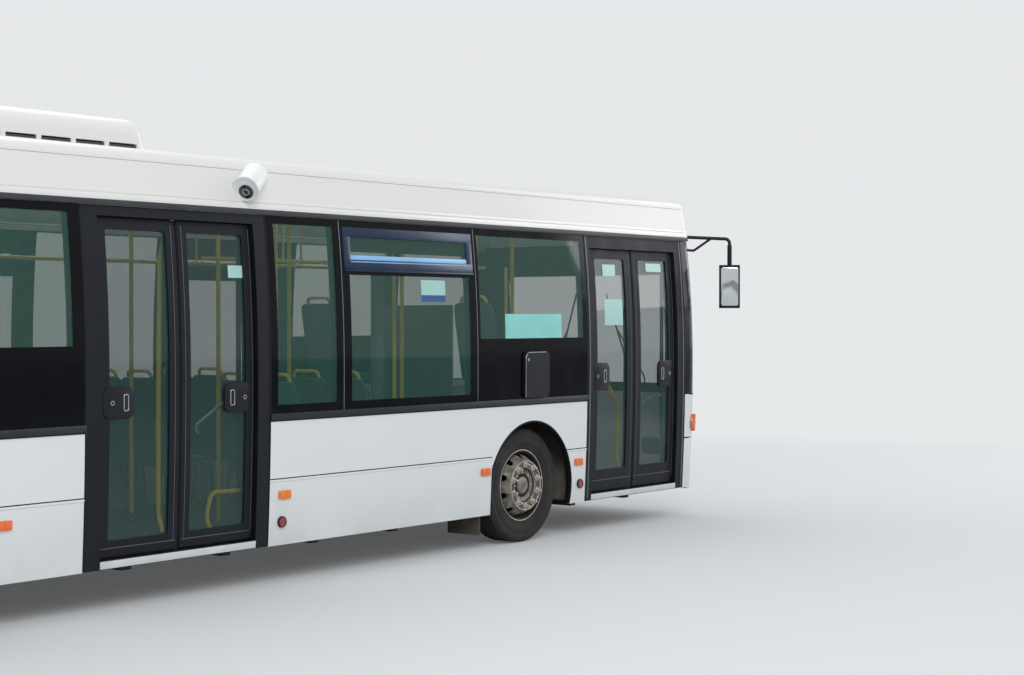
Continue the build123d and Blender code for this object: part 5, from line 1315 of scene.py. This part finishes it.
def rear_trim():
    """Seams, lamps' segments, reflectors, handle and blank plate of the rear."""
    seams = [tube(rear_line(SEAM_Z, 0.0), 0.003), tube(rear_line(WAIST_Z + 0.002, 0.0), 0.003)]
    settle(join(seams), "rear_seams", SEAL_RUBBER)
    settle(tube(rear_line(BAND_TOP + 0.018, 0.002), 0.014), "rear_gutter", GUTTER_RUBBER)
    rim, lap = 0.014, 0.004
    y_glass, z_low, z_high = 0.900, 1.560, 2.420
    # Columns: right end, left end, bottom, top
    seals = [
        (-y_glass - rim, y_glass + rim, z_low - rim, z_low + lap),
        (-y_glass - rim, y_glass + rim, z_high - lap, z_high + rim),
        (-y_glass - rim, -y_glass + lap, z_low, z_high),
        (y_glass - lap, y_glass + rim, z_low, z_high),
    ]
    seals = [rear_bar(*place, -0.004, 0.004) for place in seals]
    settle(join(seals), "rear_window_seal", SEAL_RUBBER)
    ambers, clears, dividers, reflectors = [], [], [], []
    handles = [rear_bar(-0.07, 0.07, 0.790, 0.830, -0.001, 0.016, 0.003, 0.015)]
    for side in (RIGHT, LEFT):
        lamp = measured(0, side, 0.966, 1.104)
        ambers.append(rear_bar(*lamp, 1.045, 1.152, -0.006, 0.002, 0.003, 0.02))
        clears.append(rear_bar(*lamp, 0.808, 0.880, -0.006, 0.002, 0.003, 0.02))
        for z in (0.884, 1.041):
            dividers.append(rear_bar(*lamp, z - 0.003, z + 0.003, -0.006, 0.003, 0.001))
        reflector = measured(0, side, 0.90, 1.02)
        reflectors.append(rear_bar(*reflector, 0.42, 0.46, -0.001, 0.008, 0.002, 0.01))
        latch = measured(0, side, 0.70, 0.76)
        handles.append(rear_bar(*latch, 0.795, 0.825, -0.001, 0.010, 0.003, 0.01))
    reflectors.append(rear_bar(-0.16, 0.16, 2.48, 2.51, -0.001, 0.010, 0.003, 0.01))
    plate = rear_bar(-0.26, 0.26, 0.55, 0.66, -0.001, 0.010, 0.002, 0.01)
    plate_lamp = rear_bar(-0.20, 0.20, 0.672, 0.690, -0.001, 0.022, 0.003, 0.006)
    settle(join(ambers), "rear_indicator_lenses", ORANGE_LENS)
    settle(join(clears), "reversing_lenses", CLEAR_LENS)
    settle(join(dividers), "tail_lamp_dividers", BLACK_PLASTIC)
    settle(join(reflectors), "rear_reflectors", RED_LENS)
    settle(plate, "rear_plate", PLATE_WHITE)
    settle(plate_lamp, "rear_plate_lamp", BLACK_PLASTIC)
    settle(join(handles), "engine_door_handles", BLACK_PLASTIC, "engine_door")


rear_trim()


def pod_and_hatch():
    """Backs and louvre blades in the roof pod's slots, and ribs on the hatch."""
    pod_front, pod_half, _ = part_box("roof_pod")[1]
    pitch, length, count, first = 0.274, 0.236, 12, 0.120
    slot_low, slot_high = ROOF_TOP + 0.012, ROOF_TOP + 0.039
    blade_count, blade_pitch, blade_thick = 3, 0.0055, 0.0022
    backs, blades = [], []
    for side in (RIGHT, LEFT):
        for number in range(count):
            x = pod_front - first - (number + 0.5) * pitch
            rear, front = x - length / 2, x + length / 2
            y_low, y_high = measured(0, side, pod_half - 0.031, pod_half - 0.027)
            backs.append(slab((rear, y_low, slot_low), (front, y_high, slot_high), 0))
            y_low, y_high = measured(0, side, pod_half - 0.028, pod_half - 0.006)
            for blade in range(blade_count):
                z = slot_low + 0.002 + blade * blade_pitch
                blades.append(slab((rear, y_low, z), (front, y_high, z + blade_thick), 0))
    settle(join(backs), "pod_slot_backs", SEAL_RUBBER)
    settle(join(blades), "pod_slot_blades", GREY_PLASTIC)
    low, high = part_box("roof_hatch")
    middle_x = (low[0] + high[0]) / 2
    ribs = []
    for y in (-0.22, -0.11, 0.0, 0.11, 0.22):
        rib_low = (low[0] + 0.07, y - 0.012, high[2] - 0.004)
        ribs.append(slab(rib_low, (high[0] - 0.07, y + 0.012, high[2] + 0.004), 0.003))
    ribs.append(slab((middle_x - 0.02, -0.05, 2.985), (middle_x + 0.02, 0.05, 3.004), 0.004))
    settle(join(ribs), "roof_hatch_ribs", BLACK_PLASTIC, "roof_hatch")


pod_and_hatch()


def camera_eye():
    """The end cap, shade, ring and lens on the end of the roof camera's barrel."""
    start = Vector((MIDDLE_PORTAL[1] - 0.085, 0.070 - HALF, SEAM_LINE_Z - 0.040))
    along = Vector((-0.155, -0.070, -0.100))
    face = start + along
    direction = along.normalized()
    across = direction.cross(Vector((0, 0, 1))).normalized()
    eye = face + direction.cross(across).normalized() * 0.020
    rim = [(-0.004, 0.095), (0.003, 0.094), (0.005, 0.090)]
    rim += [(0.004, 0.080), (0.001, 0.078), (0.001, 0.001)]
    shade = [(0.0, 0.052), (0.004, 0.052), (0.006, 0.048), (0.006, 0.001)]
    ring = [(0.005, 0.026), (0.010, 0.026), (0.012, 0.023), (0.010, 0.019), (0.005, 0.018)]
    lens = [(0.005, 0.018), (0.009, 0.014), (0.011, 0.008), (0.0115, 0.001)]
    for points, place, steps, name, finish in [
        (rim, face, 48, "camera_end_cap", WHITE_PLASTIC),
        (shade, eye, 40, "camera_shade", CAMERA_GLASS),
        (ring, eye, 32, "camera_ring", HANDLE_METAL),
        (lens, eye, 32, "camera_lens", CAMERA_GLASS),
    ]:
        settle(turned_toward(points, place, direction, steps), name, finish)


camera_eye()


def mirror_faces():
    """The mirror glass and its rim, set into the rear of each mirror head."""
    head_x, bottom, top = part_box("mirrors")[1][0] - 0.082, 1.975, 2.390
    turn, half, edge = math.radians(33), 0.092, 0.010
    back, front, glass_back = -0.056, -0.049, -0.0535
    faces, rims = [], []
    # The rim's bars. Columns: right end, left end, bottom, top
    bars = [
        (-half, -half + edge, bottom + 0.012, top - 0.012),
        (half - edge, half, bottom + 0.012, top - 0.012),
        (-half, half, bottom + 0.012, bottom + 0.024),
        (-half, half, top - 0.024, top - 0.012),
    ]
    for side in (RIGHT, LEFT):
        place = Matrix.Translation((head_x, side * (HALF + 0.167), 0))
        place = place @ Matrix.Rotation(-side * turn, 4, "Z")
        glass_low = (glass_back, edge - half, bottom + 0.024)
        glass = slab(glass_low, (front, half - edge, top - 0.024), 0.001, (0, 0.02))
        rim = join([slab((back, a, low), (front, b, high), 0.002) for a, b, low, high in bars])
        glass.data.transform(place)
        rim.data.transform(place)
        faces.append(glass)
        rims.append(rim)
    settle(join(faces), "mirror_faces", MIRROR_GLASS)
    settle(join(rims), "mirror_rims", BLACK_PLASTIC)


mirror_faces()


def sheets_and_box():
    """Blank sheets stuck to the glass, and the outline and lock of the box over the wheel."""
    low, high = AXLE_X - 0.103, AXLE_X + 0.237
    top, y, lock_z = 1.600, -(HALF + 0.029), 1.533
    # Columns: place along the bus, height
    path = [
        (low + 0.005, 1.218),
        (low + 0.005, top - 0.050),
        (low + 0.020, top - 0.020),
        (low + 0.050, top - 0.005),
        (high - 0.050, top - 0.005),
    ]
    outline = tube([(x, y - skin(z), z) for x, z in path], 0.0028, 0.008)
    settle(outline, "box_outline", HANDLE_METAL)
    knob = [(0.0, 0.012), (0.006, 0.012), (0.008, 0.009), (0.008, 0.001)]
    lock = turned_toward(knob, (low + 0.035, y - skin(lock_z), lock_z), (0, -1, 0))
    settle(lock, "box_lock", HANDLE_METAL)
    # Columns: name, finish, ends ahead of the front axle, bottom, top
    for name, finish, start, stop, bottom, top in [
        ("pale_sheet", PALE_SHEET, -0.337, 0.455, 1.712, 1.915),
        ("notice_sheet", WHITE_SHEET, -1.397, -1.103, 2.060, 2.176),
        ("notice_foot", BLUE_SHEET, -1.397, -1.103, 2.008, 2.060),
    ]:
        sheet = side_bar(RIGHT, AXLE_X + start, AXLE_X + stop, bottom, top, -0.0010, 0.0006, 0)
        settle(sheet, name, finish)
    # On the door leaves. Columns: leaf, ends ahead of the front axle, bottom, top
    notices = [
        ("middle_door_front_leaf", -3.402, -3.227, 2.160, 2.246),
        ("front_door_rear_leaf", 1.185, 1.385, 2.257, 2.359),
        ("front_door_rear_leaf", 1.185, 1.475, 1.818, 2.049),
        ("front_door_front_leaf", 1.895, 2.150, 2.308, 2.385),
    ]
    for number, (body, start, stop, bottom, top) in enumerate(notices):
        sheet = side_bar(RIGHT, AXLE_X + start, AXLE_X + stop, bottom, top, -0.0460, -0.0443, 0)
        settle(sheet, f"{body}_notice_{number}", WHITE_SHEET, body)


sheets_and_box()


def pad(length, width, thick, crown):
    """A stuffed pad lying flat about the origin, crowned and pulled in at its sides."""
    pull_x, pull_y = 0.012, 0.008
    deselect()
    bpy.ops.mesh.primitive_cube_add(size=1, scale=(length, width, thick))
    bpy.ops.object.transform_apply(location=True, rotation=True, scale=True)
    piece = active()
    bpy.ops.object.mode_set(mode="EDIT")
    bpy.ops.mesh.select_all(action="SELECT")
    bpy.ops.mesh.subdivide(number_cuts=5)
    bpy.ops.object.mode_set(mode="OBJECT")
    # u and v run from -1 to 1 over the pad, and middle is 1 halfway up its sides
    for vertex in piece.data.vertices:
        x, y, z = vertex.co
        u, v, middle = 2 * x / length, 2 * y / width, 1 - abs(2 * z / thick)
        if z > 0:
            vertex.co.z += crown * (1 - u**2) * (1 - v**2)
        vertex.co.x -= pull_x * u * middle * abs(u) ** 3
        vertex.co.y -= pull_y * v * middle * abs(v) ** 3
    smooth = piece.modifiers.new("smooth", "SUBSURF")
    smooth.levels = 1
    smooth.render_levels = 1
    return apply_modifiers(piece)


def stood_back(x, y, z, lean):
    """The place of a pad that stands as a backrest, leaning to the rear."""
    turn = Matrix.Rotation(-lean, 4, "Y") @ Matrix.Rotation(math.pi / 2, 4, "Y")
    return Matrix.Translation((x, y, z)) @ turn


def passenger_seats():
    """Pairs of shell seats with cloth pads, yellow handles and legs."""
    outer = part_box("seats")[1][1]
    # Columns: front of the cushion, floor, rise, inner end, seats side by side
    rows = [
        (AXLE_X - 2.150, FLOOR_Z, 0.43, 0.330, 2),
        (AXLE_X - 1.400, FLOOR_Z, 0.43, 0.330, 2),
        (REAR_AXLE_X + 0.560, BOX_TOP, 0.30, 0.620, 1),
        (REAR_AXLE_X - 0.090, BOX_TOP, 0.30, 0.620, 1),
        (REAR_X + 1.020, PLATFORM_Z, 0.43, 0.330, 2),
        (REAR_X + 1.770, PLATFORM_Z, 0.43, 0.330, 2),
        (AXLE_X + 0.250, BOX_TOP, 0.30, 0.620, 1),
    ]
    lean = math.atan2(0.120, 0.660)
    cushion = pad(0.400, 0.400, 0.050, 0.018)
    cushion.data.transform(Matrix.Translation((-0.205, 0, -0.008)))
    back = pad(0.520, 0.380, 0.045, 0.014)
    back.data.transform(stood_back(-0.440, 0, 0.34, lean))
    pan = slab((-0.43, -0.205, -0.052), (0.0, 0.205, -0.030), 0.008, (2, 0.05))
    shell = slab((-0.012, -0.205, -0.02), (0.012, 0.205, 0.66), 0.008, (0, 0.06))
    shell.data.transform(Matrix.Translation((-0.415, 0, 0.0)) @ Matrix.Rotation(-lean, 4, "Y"))
    bow = [(-0.50, -0.13, 0.60), (-0.53, -0.13, 0.70), (-0.53, 0.13, 0.70), (-0.50, 0.13, 0.60)]
    handle = tube(bow, 0.014, 0.04)
    pads, shells, handles, legs = [], [], [], []
    for front, floor, rise, inner, count in rows:
        width = (outer - inner) / count
        under = floor + rise - 0.05
        stand = [(0.10, floor + 0.002), (0.14, under), (0.30, under), (0.34, floor + 0.002)]
        for side in (RIGHT, LEFT):
            for number in range(count):
                y = side * (inner + (number + 0.5) * width)
                place = Matrix.Translation((front, y, floor + rise))
                pads += [copy_of(cushion, place), copy_of(back, place)]
                shells += [copy_of(pan, place), copy_of(shell, place)]
                handles.append(copy_of(handle, place))
                legs.append(tube([(front - behind, y, z) for behind, z in stand], 0.016, 0.03))
    for model in (cushion, back, pan, shell, handle):
        bpy.data.objects.remove(model)
    cloth = settle(join(pads), "seat_pads", SEAT_CLOTH, smooth=60)
    shell_piece = settle(join(shells), "seat_shells", SHELL_PLASTIC)
    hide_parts("seats")
    settle(join(handles), "seat_handles", YELLOW_RAIL)
    settle(join(legs), "seat_legs", GREY_PLASTIC)


passenger_seats()


def driver_place():
    """The driver's padded seat on its pedestal, and the desk's instruments."""
    low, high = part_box("driver_seat")
    x, y = low[0] + 0.330, (low[1] + high[1]) / 2
    cushion = pad(0.50, 0.48, 0.11, 0.02)
    cushion.data.transform(Matrix.Translation((x - 0.01, y, 0.835)))
    back = pad(0.68, 0.46, 0.10, 0.02)
    back.data.transform(stood_back(x - 0.275, y, 1.20, 0.10))
    cloth = settle(join([cushion, back]), "driver_seat_pads", DRIVER_CLOTH, smooth=60)
    # Foot, seat pan and four folds of bellows
    # Columns: rear end, front end, half width, bottom, top, edge, corner
    blocks = [
        (-0.20, 0.15, 0.18, FLOOR_Z, 0.52, 0.01, 0.03),
        (-0.25, 0.23, 0.23, 0.755, 0.785, 0.008, 0.05),
        *[(-0.17, 0.13, 0.17, z, z + 0.05, 0.02, 0.04) for z in (0.52, 0.58, 0.64, 0.70)],
    ]
    pedestal = [
        slab((x + rear, y - half, bottom), (x + front, y + half, top), edge, (2, corner))
        for rear, front, half, bottom, top, edge, corner in blocks
    ]
    pedestal = settle(join(pedestal), "driver_seat_pedestal", BLACK_PLASTIC)
    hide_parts("driver_seat")
    desk_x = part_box("dashboard")[0][0]
    instruments = [
        slab((desk_x + 0.12, y - 0.25, 1.140), (desk_x + 0.34, y + 0.25, 1.165), 0.01, (2, 0.04))
    ]
    for number in range(3):
        right = y - 0.20 + number * 0.14
        screen_low = (desk_x + 0.11, right, 1.09)
        instruments.append(slab(screen_low, (desk_x + 0.125, right + 0.12, 1.15), 0.003))
    settle(join(instruments), "desk_instruments", BLACK_PLASTIC)


driver_place()

CEILING_Z = ROOF_TOP - 0.075
RAIL_Z = 2.32


def cabin_lining():
    """Wall and ceiling lining, light strips and step edgings."""
    depths = (-0.066, -0.0605, 0)
    walls = []
    for side, low, high in RUNS:
        walls.append(side_bar(side, low + 0.02, high - 0.02, 2.560, BAND_TOP - 0.004, *depths))
    # The wheel boxes' ends, over which the lining starts higher
    rear_arch = (REAR_AXLE_X - 0.70, REAR_AXLE_X + 0.75)
    front_arch = (AXLE_X - 0.70, AXLE_X + 0.75)
    # Columns: side, rear end, front end, foot
    spans = [
        (RIGHT, front_arch[1], FRONT_PORTAL[0] - 0.02, FLOOR_Z),
        (LEFT, MIDDLE_PORTAL[0] - 0.02, MIDDLE_PORTAL[1] + 0.02, FLOOR_Z),
        (LEFT, front_arch[1], CORNER_X - 0.08, FLOOR_Z),
    ]
    for side in (RIGHT, LEFT):
        spans += [
            (side, REAR_X + 0.02, rear_arch[0], PLATFORM_Z),
            (side, *rear_arch, BOX_TOP),
            (side, rear_arch[1], MIDDLE_PORTAL[0] - 0.02, PLATFORM_Z),
            (side, MIDDLE_PORTAL[1] + 0.02, front_arch[0], FLOOR_Z),
            (side, *front_arch, BOX_TOP),
        ]
    walls += [side_bar(side, a, b, foot + 0.004, 1.255, *depths) for side, a, b, foot in spans]
    settle(join(walls), "wall_lining", LINING)
    hatch_low, hatch_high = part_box("roof_hatch")
    rear, front, edge = REAR_X + 0.15, CORNER_X - 0.35, 1.02
    # Ceiling panels round the hatch. Columns: rear end, front end, right edge, left edge
    panels = [
        (rear, hatch_low[0], -edge, edge),
        (hatch_high[0], front, -edge, edge),
        (hatch_low[0], hatch_high[0], -edge, hatch_low[1]),
        (hatch_low[0], hatch_high[0], hatch_high[1], edge),
    ]
    ceiling = [slab((a, c, CEILING_Z), (b, d, CEILING_Z + 0.006), 0) for a, b, c, d in panels]
    strips, edgings = [], []
    for side in (RIGHT, LEFT):
        duct = slab((rear, -0.17, -0.004), (front, 0.17, 0.004), 0.002)
        tilt = Matrix.Rotation(-side * math.radians(64), 4, "X")
        duct.data.transform(Matrix.Translation((0, side * 1.075, CEILING_Z - 0.150)) @ tilt)
        ceiling.append(duct)
        y_low, y_high = measured(0, side, 0.66, 0.78)
        for number in range(7):
            x = rear + 0.25 + number * (front - rear) / 7
            low, high = (x, y_low, CEILING_Z - 0.028), (x + 1.2, y_high, CEILING_Z - 0.001)
            strips.append(slab(low, high, 0.008))
    settle(join(ceiling), "ceiling_lining", LINING)
    settle(join(strips), "ceiling_lights", OPAL)
    steps, tread = 3, 0.300
    for number in range(steps):
        x = MIDDLE_PORTAL[0] - number * tread
        z = FLOOR_Z + (number + 1) * (PLATFORM_Z - FLOOR_Z) / steps
        edgings.append(slab((x - 0.045, -0.50, z - 0.002), (x + 0.004, 0.50, z + 0.004), 0.001))
    settle(join(edgings), "step_edgings", SIGNAL_YELLOW)


cabin_lining()


def cabin_rails():
    """Collars on the poles, the rails under the ceiling with their hangers, and two posts."""
    # Columns: x, y, foot height
    poles = [
        (AXLE_X - 2.800, -0.480, FLOOR_Z),
        (AXLE_X - 2.800, 0.480, FLOOR_Z),
        (AXLE_X - 2.020, -0.300, FLOOR_Z),
        (AXLE_X - 1.250, 0.300, FLOOR_Z),
        (AXLE_X - 0.720, -0.480, FLOOR_Z),
        (AXLE_X + 0.800, -0.480, FLOOR_Z),
        (REAR_AXLE_X - 0.700, -0.400, PLATFORM_Z),
        (REAR_AXLE_X - 0.700, 0.400, PLATFORM_Z),
    ]
    ring = [(0.0, 0.017), (0.0, 0.040), (0.008, 0.040)]
    ring += [(0.014, 0.030), (0.040, 0.026), (0.040, 0.017)]
    collars = []
    for x, y, foot in poles:
        collars.append(turned_toward(ring, (x, y, foot + 0.001), (0, 0, 1), 20))
        collars.append(turned_toward(ring, (x, y, CEILING_Z - 0.001), (0, 0, -1), 20))
    settle(join(collars), "pole_collars", GREY_PLASTIC)
    # The right-hand rail stops short of the middle door's open leaves
    rail_rear, rail_front, rail_y = REAR_X + 0.6, AXLE_X + 0.4, 0.48
    hangers, hanger_pitch = 8, 1.2
    rails = []
    for side, low, high in [
        (LEFT, rail_rear, rail_front),
        (RIGHT, rail_rear, MIDDLE_PORTAL[0] - 0.10),
        (RIGHT, MIDDLE_PORTAL[1] + 0.10, rail_front),
    ]:
        y = side * rail_y
        rails.append(tube([(low, y, RAIL_Z), (high, y, RAIL_Z)], 0.016))
        for number in range(hangers):
            x = rail_rear + 0.3 + number * hanger_pitch
            if low < x < high:
                rails.append(tube([(x, y, RAIL_Z), (x, y, CEILING_Z)], 0.010))
    # Upright posts. Columns: ahead of the front axle, in from the side, foot, radius
    uprights = []
    for ahead, inward, foot, radius in [
        (-1.10, 0.55, FLOOR_Z, 0.016),
        (0.32, 0.50, 1.10, 0.014),
        (-1.36, 0.50, FLOOR_Z, 0.055),
    ]:
        x, y = AXLE_X + ahead, inward - HALF
        uprights.append(tube([(x, y, foot), (x, y, RAIL_Z)], radius))
    *thin_posts, duct_post = uprights
    settle(join(rails + thin_posts), "ceiling_rails", YELLOW_RAIL)
    settle(duct_post, "cable_duct_post", GREY_PLASTIC)


cabin_rails()


def studio():
    """A pale floor that fades to a pale surround for the camera's rays, and soft lamps."""
    deselect()
    bpy.ops.mesh.primitive_plane_add(size=300, location=(0, 0, 0))
    floor = active()
    floor.name = "studio_floor"
    # Matt paint on a smooth floor: even and pale, it keeps soft shadows
    material = bpy.data.materials.new("studio_floor_paint")
    material.use_nodes = True
    floor.data.materials.append(material)
    tree = material.node_tree
    shader = tree.nodes["Principled BSDF"]
    feed(tree, shader, {"Base Color": "#D4D6D7", "Roughness": 0.9, "Coat Roughness": 0.08})
    place = add_node(tree, "TexCoord", {}, {}).outputs["Object"]
    away = add_node(tree, "VectorMath", {"operation": "LENGTH"}, {0: place}).outputs["Value"]
    # Between 5 m and 17 m out the floor takes on the surround's colour
    fade = {"Value": away, "From Min": 5.0, "From Max": 17.0, "To Min": 0.1}
    far = add_node(tree, "MapRange", {}, fade)
    seen = add_node(tree, "LightPath", {}, {}).outputs["Is Camera Ray"]
    faded = add_node(tree, "Math", {"operation": "MULTIPLY"}, {0: far, 1: seen})
    pale = add_node(tree, "Emission", {}, {"Color": "#E6E8EA", "Strength": 1.0})
    blended = add_node(tree, "MixShader", {}, {0: faded, 1: shader, 2: pale})
    feed(tree, tree.nodes["Material Output"], {"Surface": blended})
    world = bpy.data.worlds.new("studio")
    bpy.context.scene.world = world
    world.use_nodes = True
    tree = world.node_tree
    tree.nodes.clear()
    rays = add_node(tree, "LightPath", {}, {}).outputs
    seen = {0: rays["Is Camera Ray"], 1: rays["Is Transmission Ray"]}
    seen = {0: add_node(tree, "Math", {"operation": "MAXIMUM"}, seen), 1: rays["Is Glossy Ray"]}
    shown = add_node(tree, "Math", {"operation": "MAXIMUM"}, seen)
    lighting = add_node(tree, "Background", {}, {"Color": "#EEF2F6", "Strength": 0.55})
    surround = add_node(tree, "Background", {}, {"Color": "#E6E8EA", "Strength": 1.0})
    mixed = add_node(tree, "MixShader", {}, {0: shown, 1: lighting, 2: surround})
    add_node(tree, "OutputWorld", {"is_active_output": True}, {"Surface": mixed})
    aim = Vector((1.0, 0.0, 1.2))
    # Columns: name, place, size, watts
    for name, place, size, watts in [
        ("key_lamp", (-6.0, -12.0, 11.0), 9.0, 1250),
        ("top_lamp", (2.0, 4.0, 13.0), 12.0, 650),
        ("front_lamp", (15.0, -5.0, 6.0), 7.0, 400),
    ]:
        bpy.ops.object.light_add(type="AREA", location=place)
        lamp = active()
        lamp.name = name
        lamp.data.size = size
        lamp.data.energy = watts
        lamp.rotation_euler = (aim - Vector(place)).to_track_quat("-Z", "Y").to_euler()


studio()
bpy.context.scene.view_settings.view_transform = "Standard"
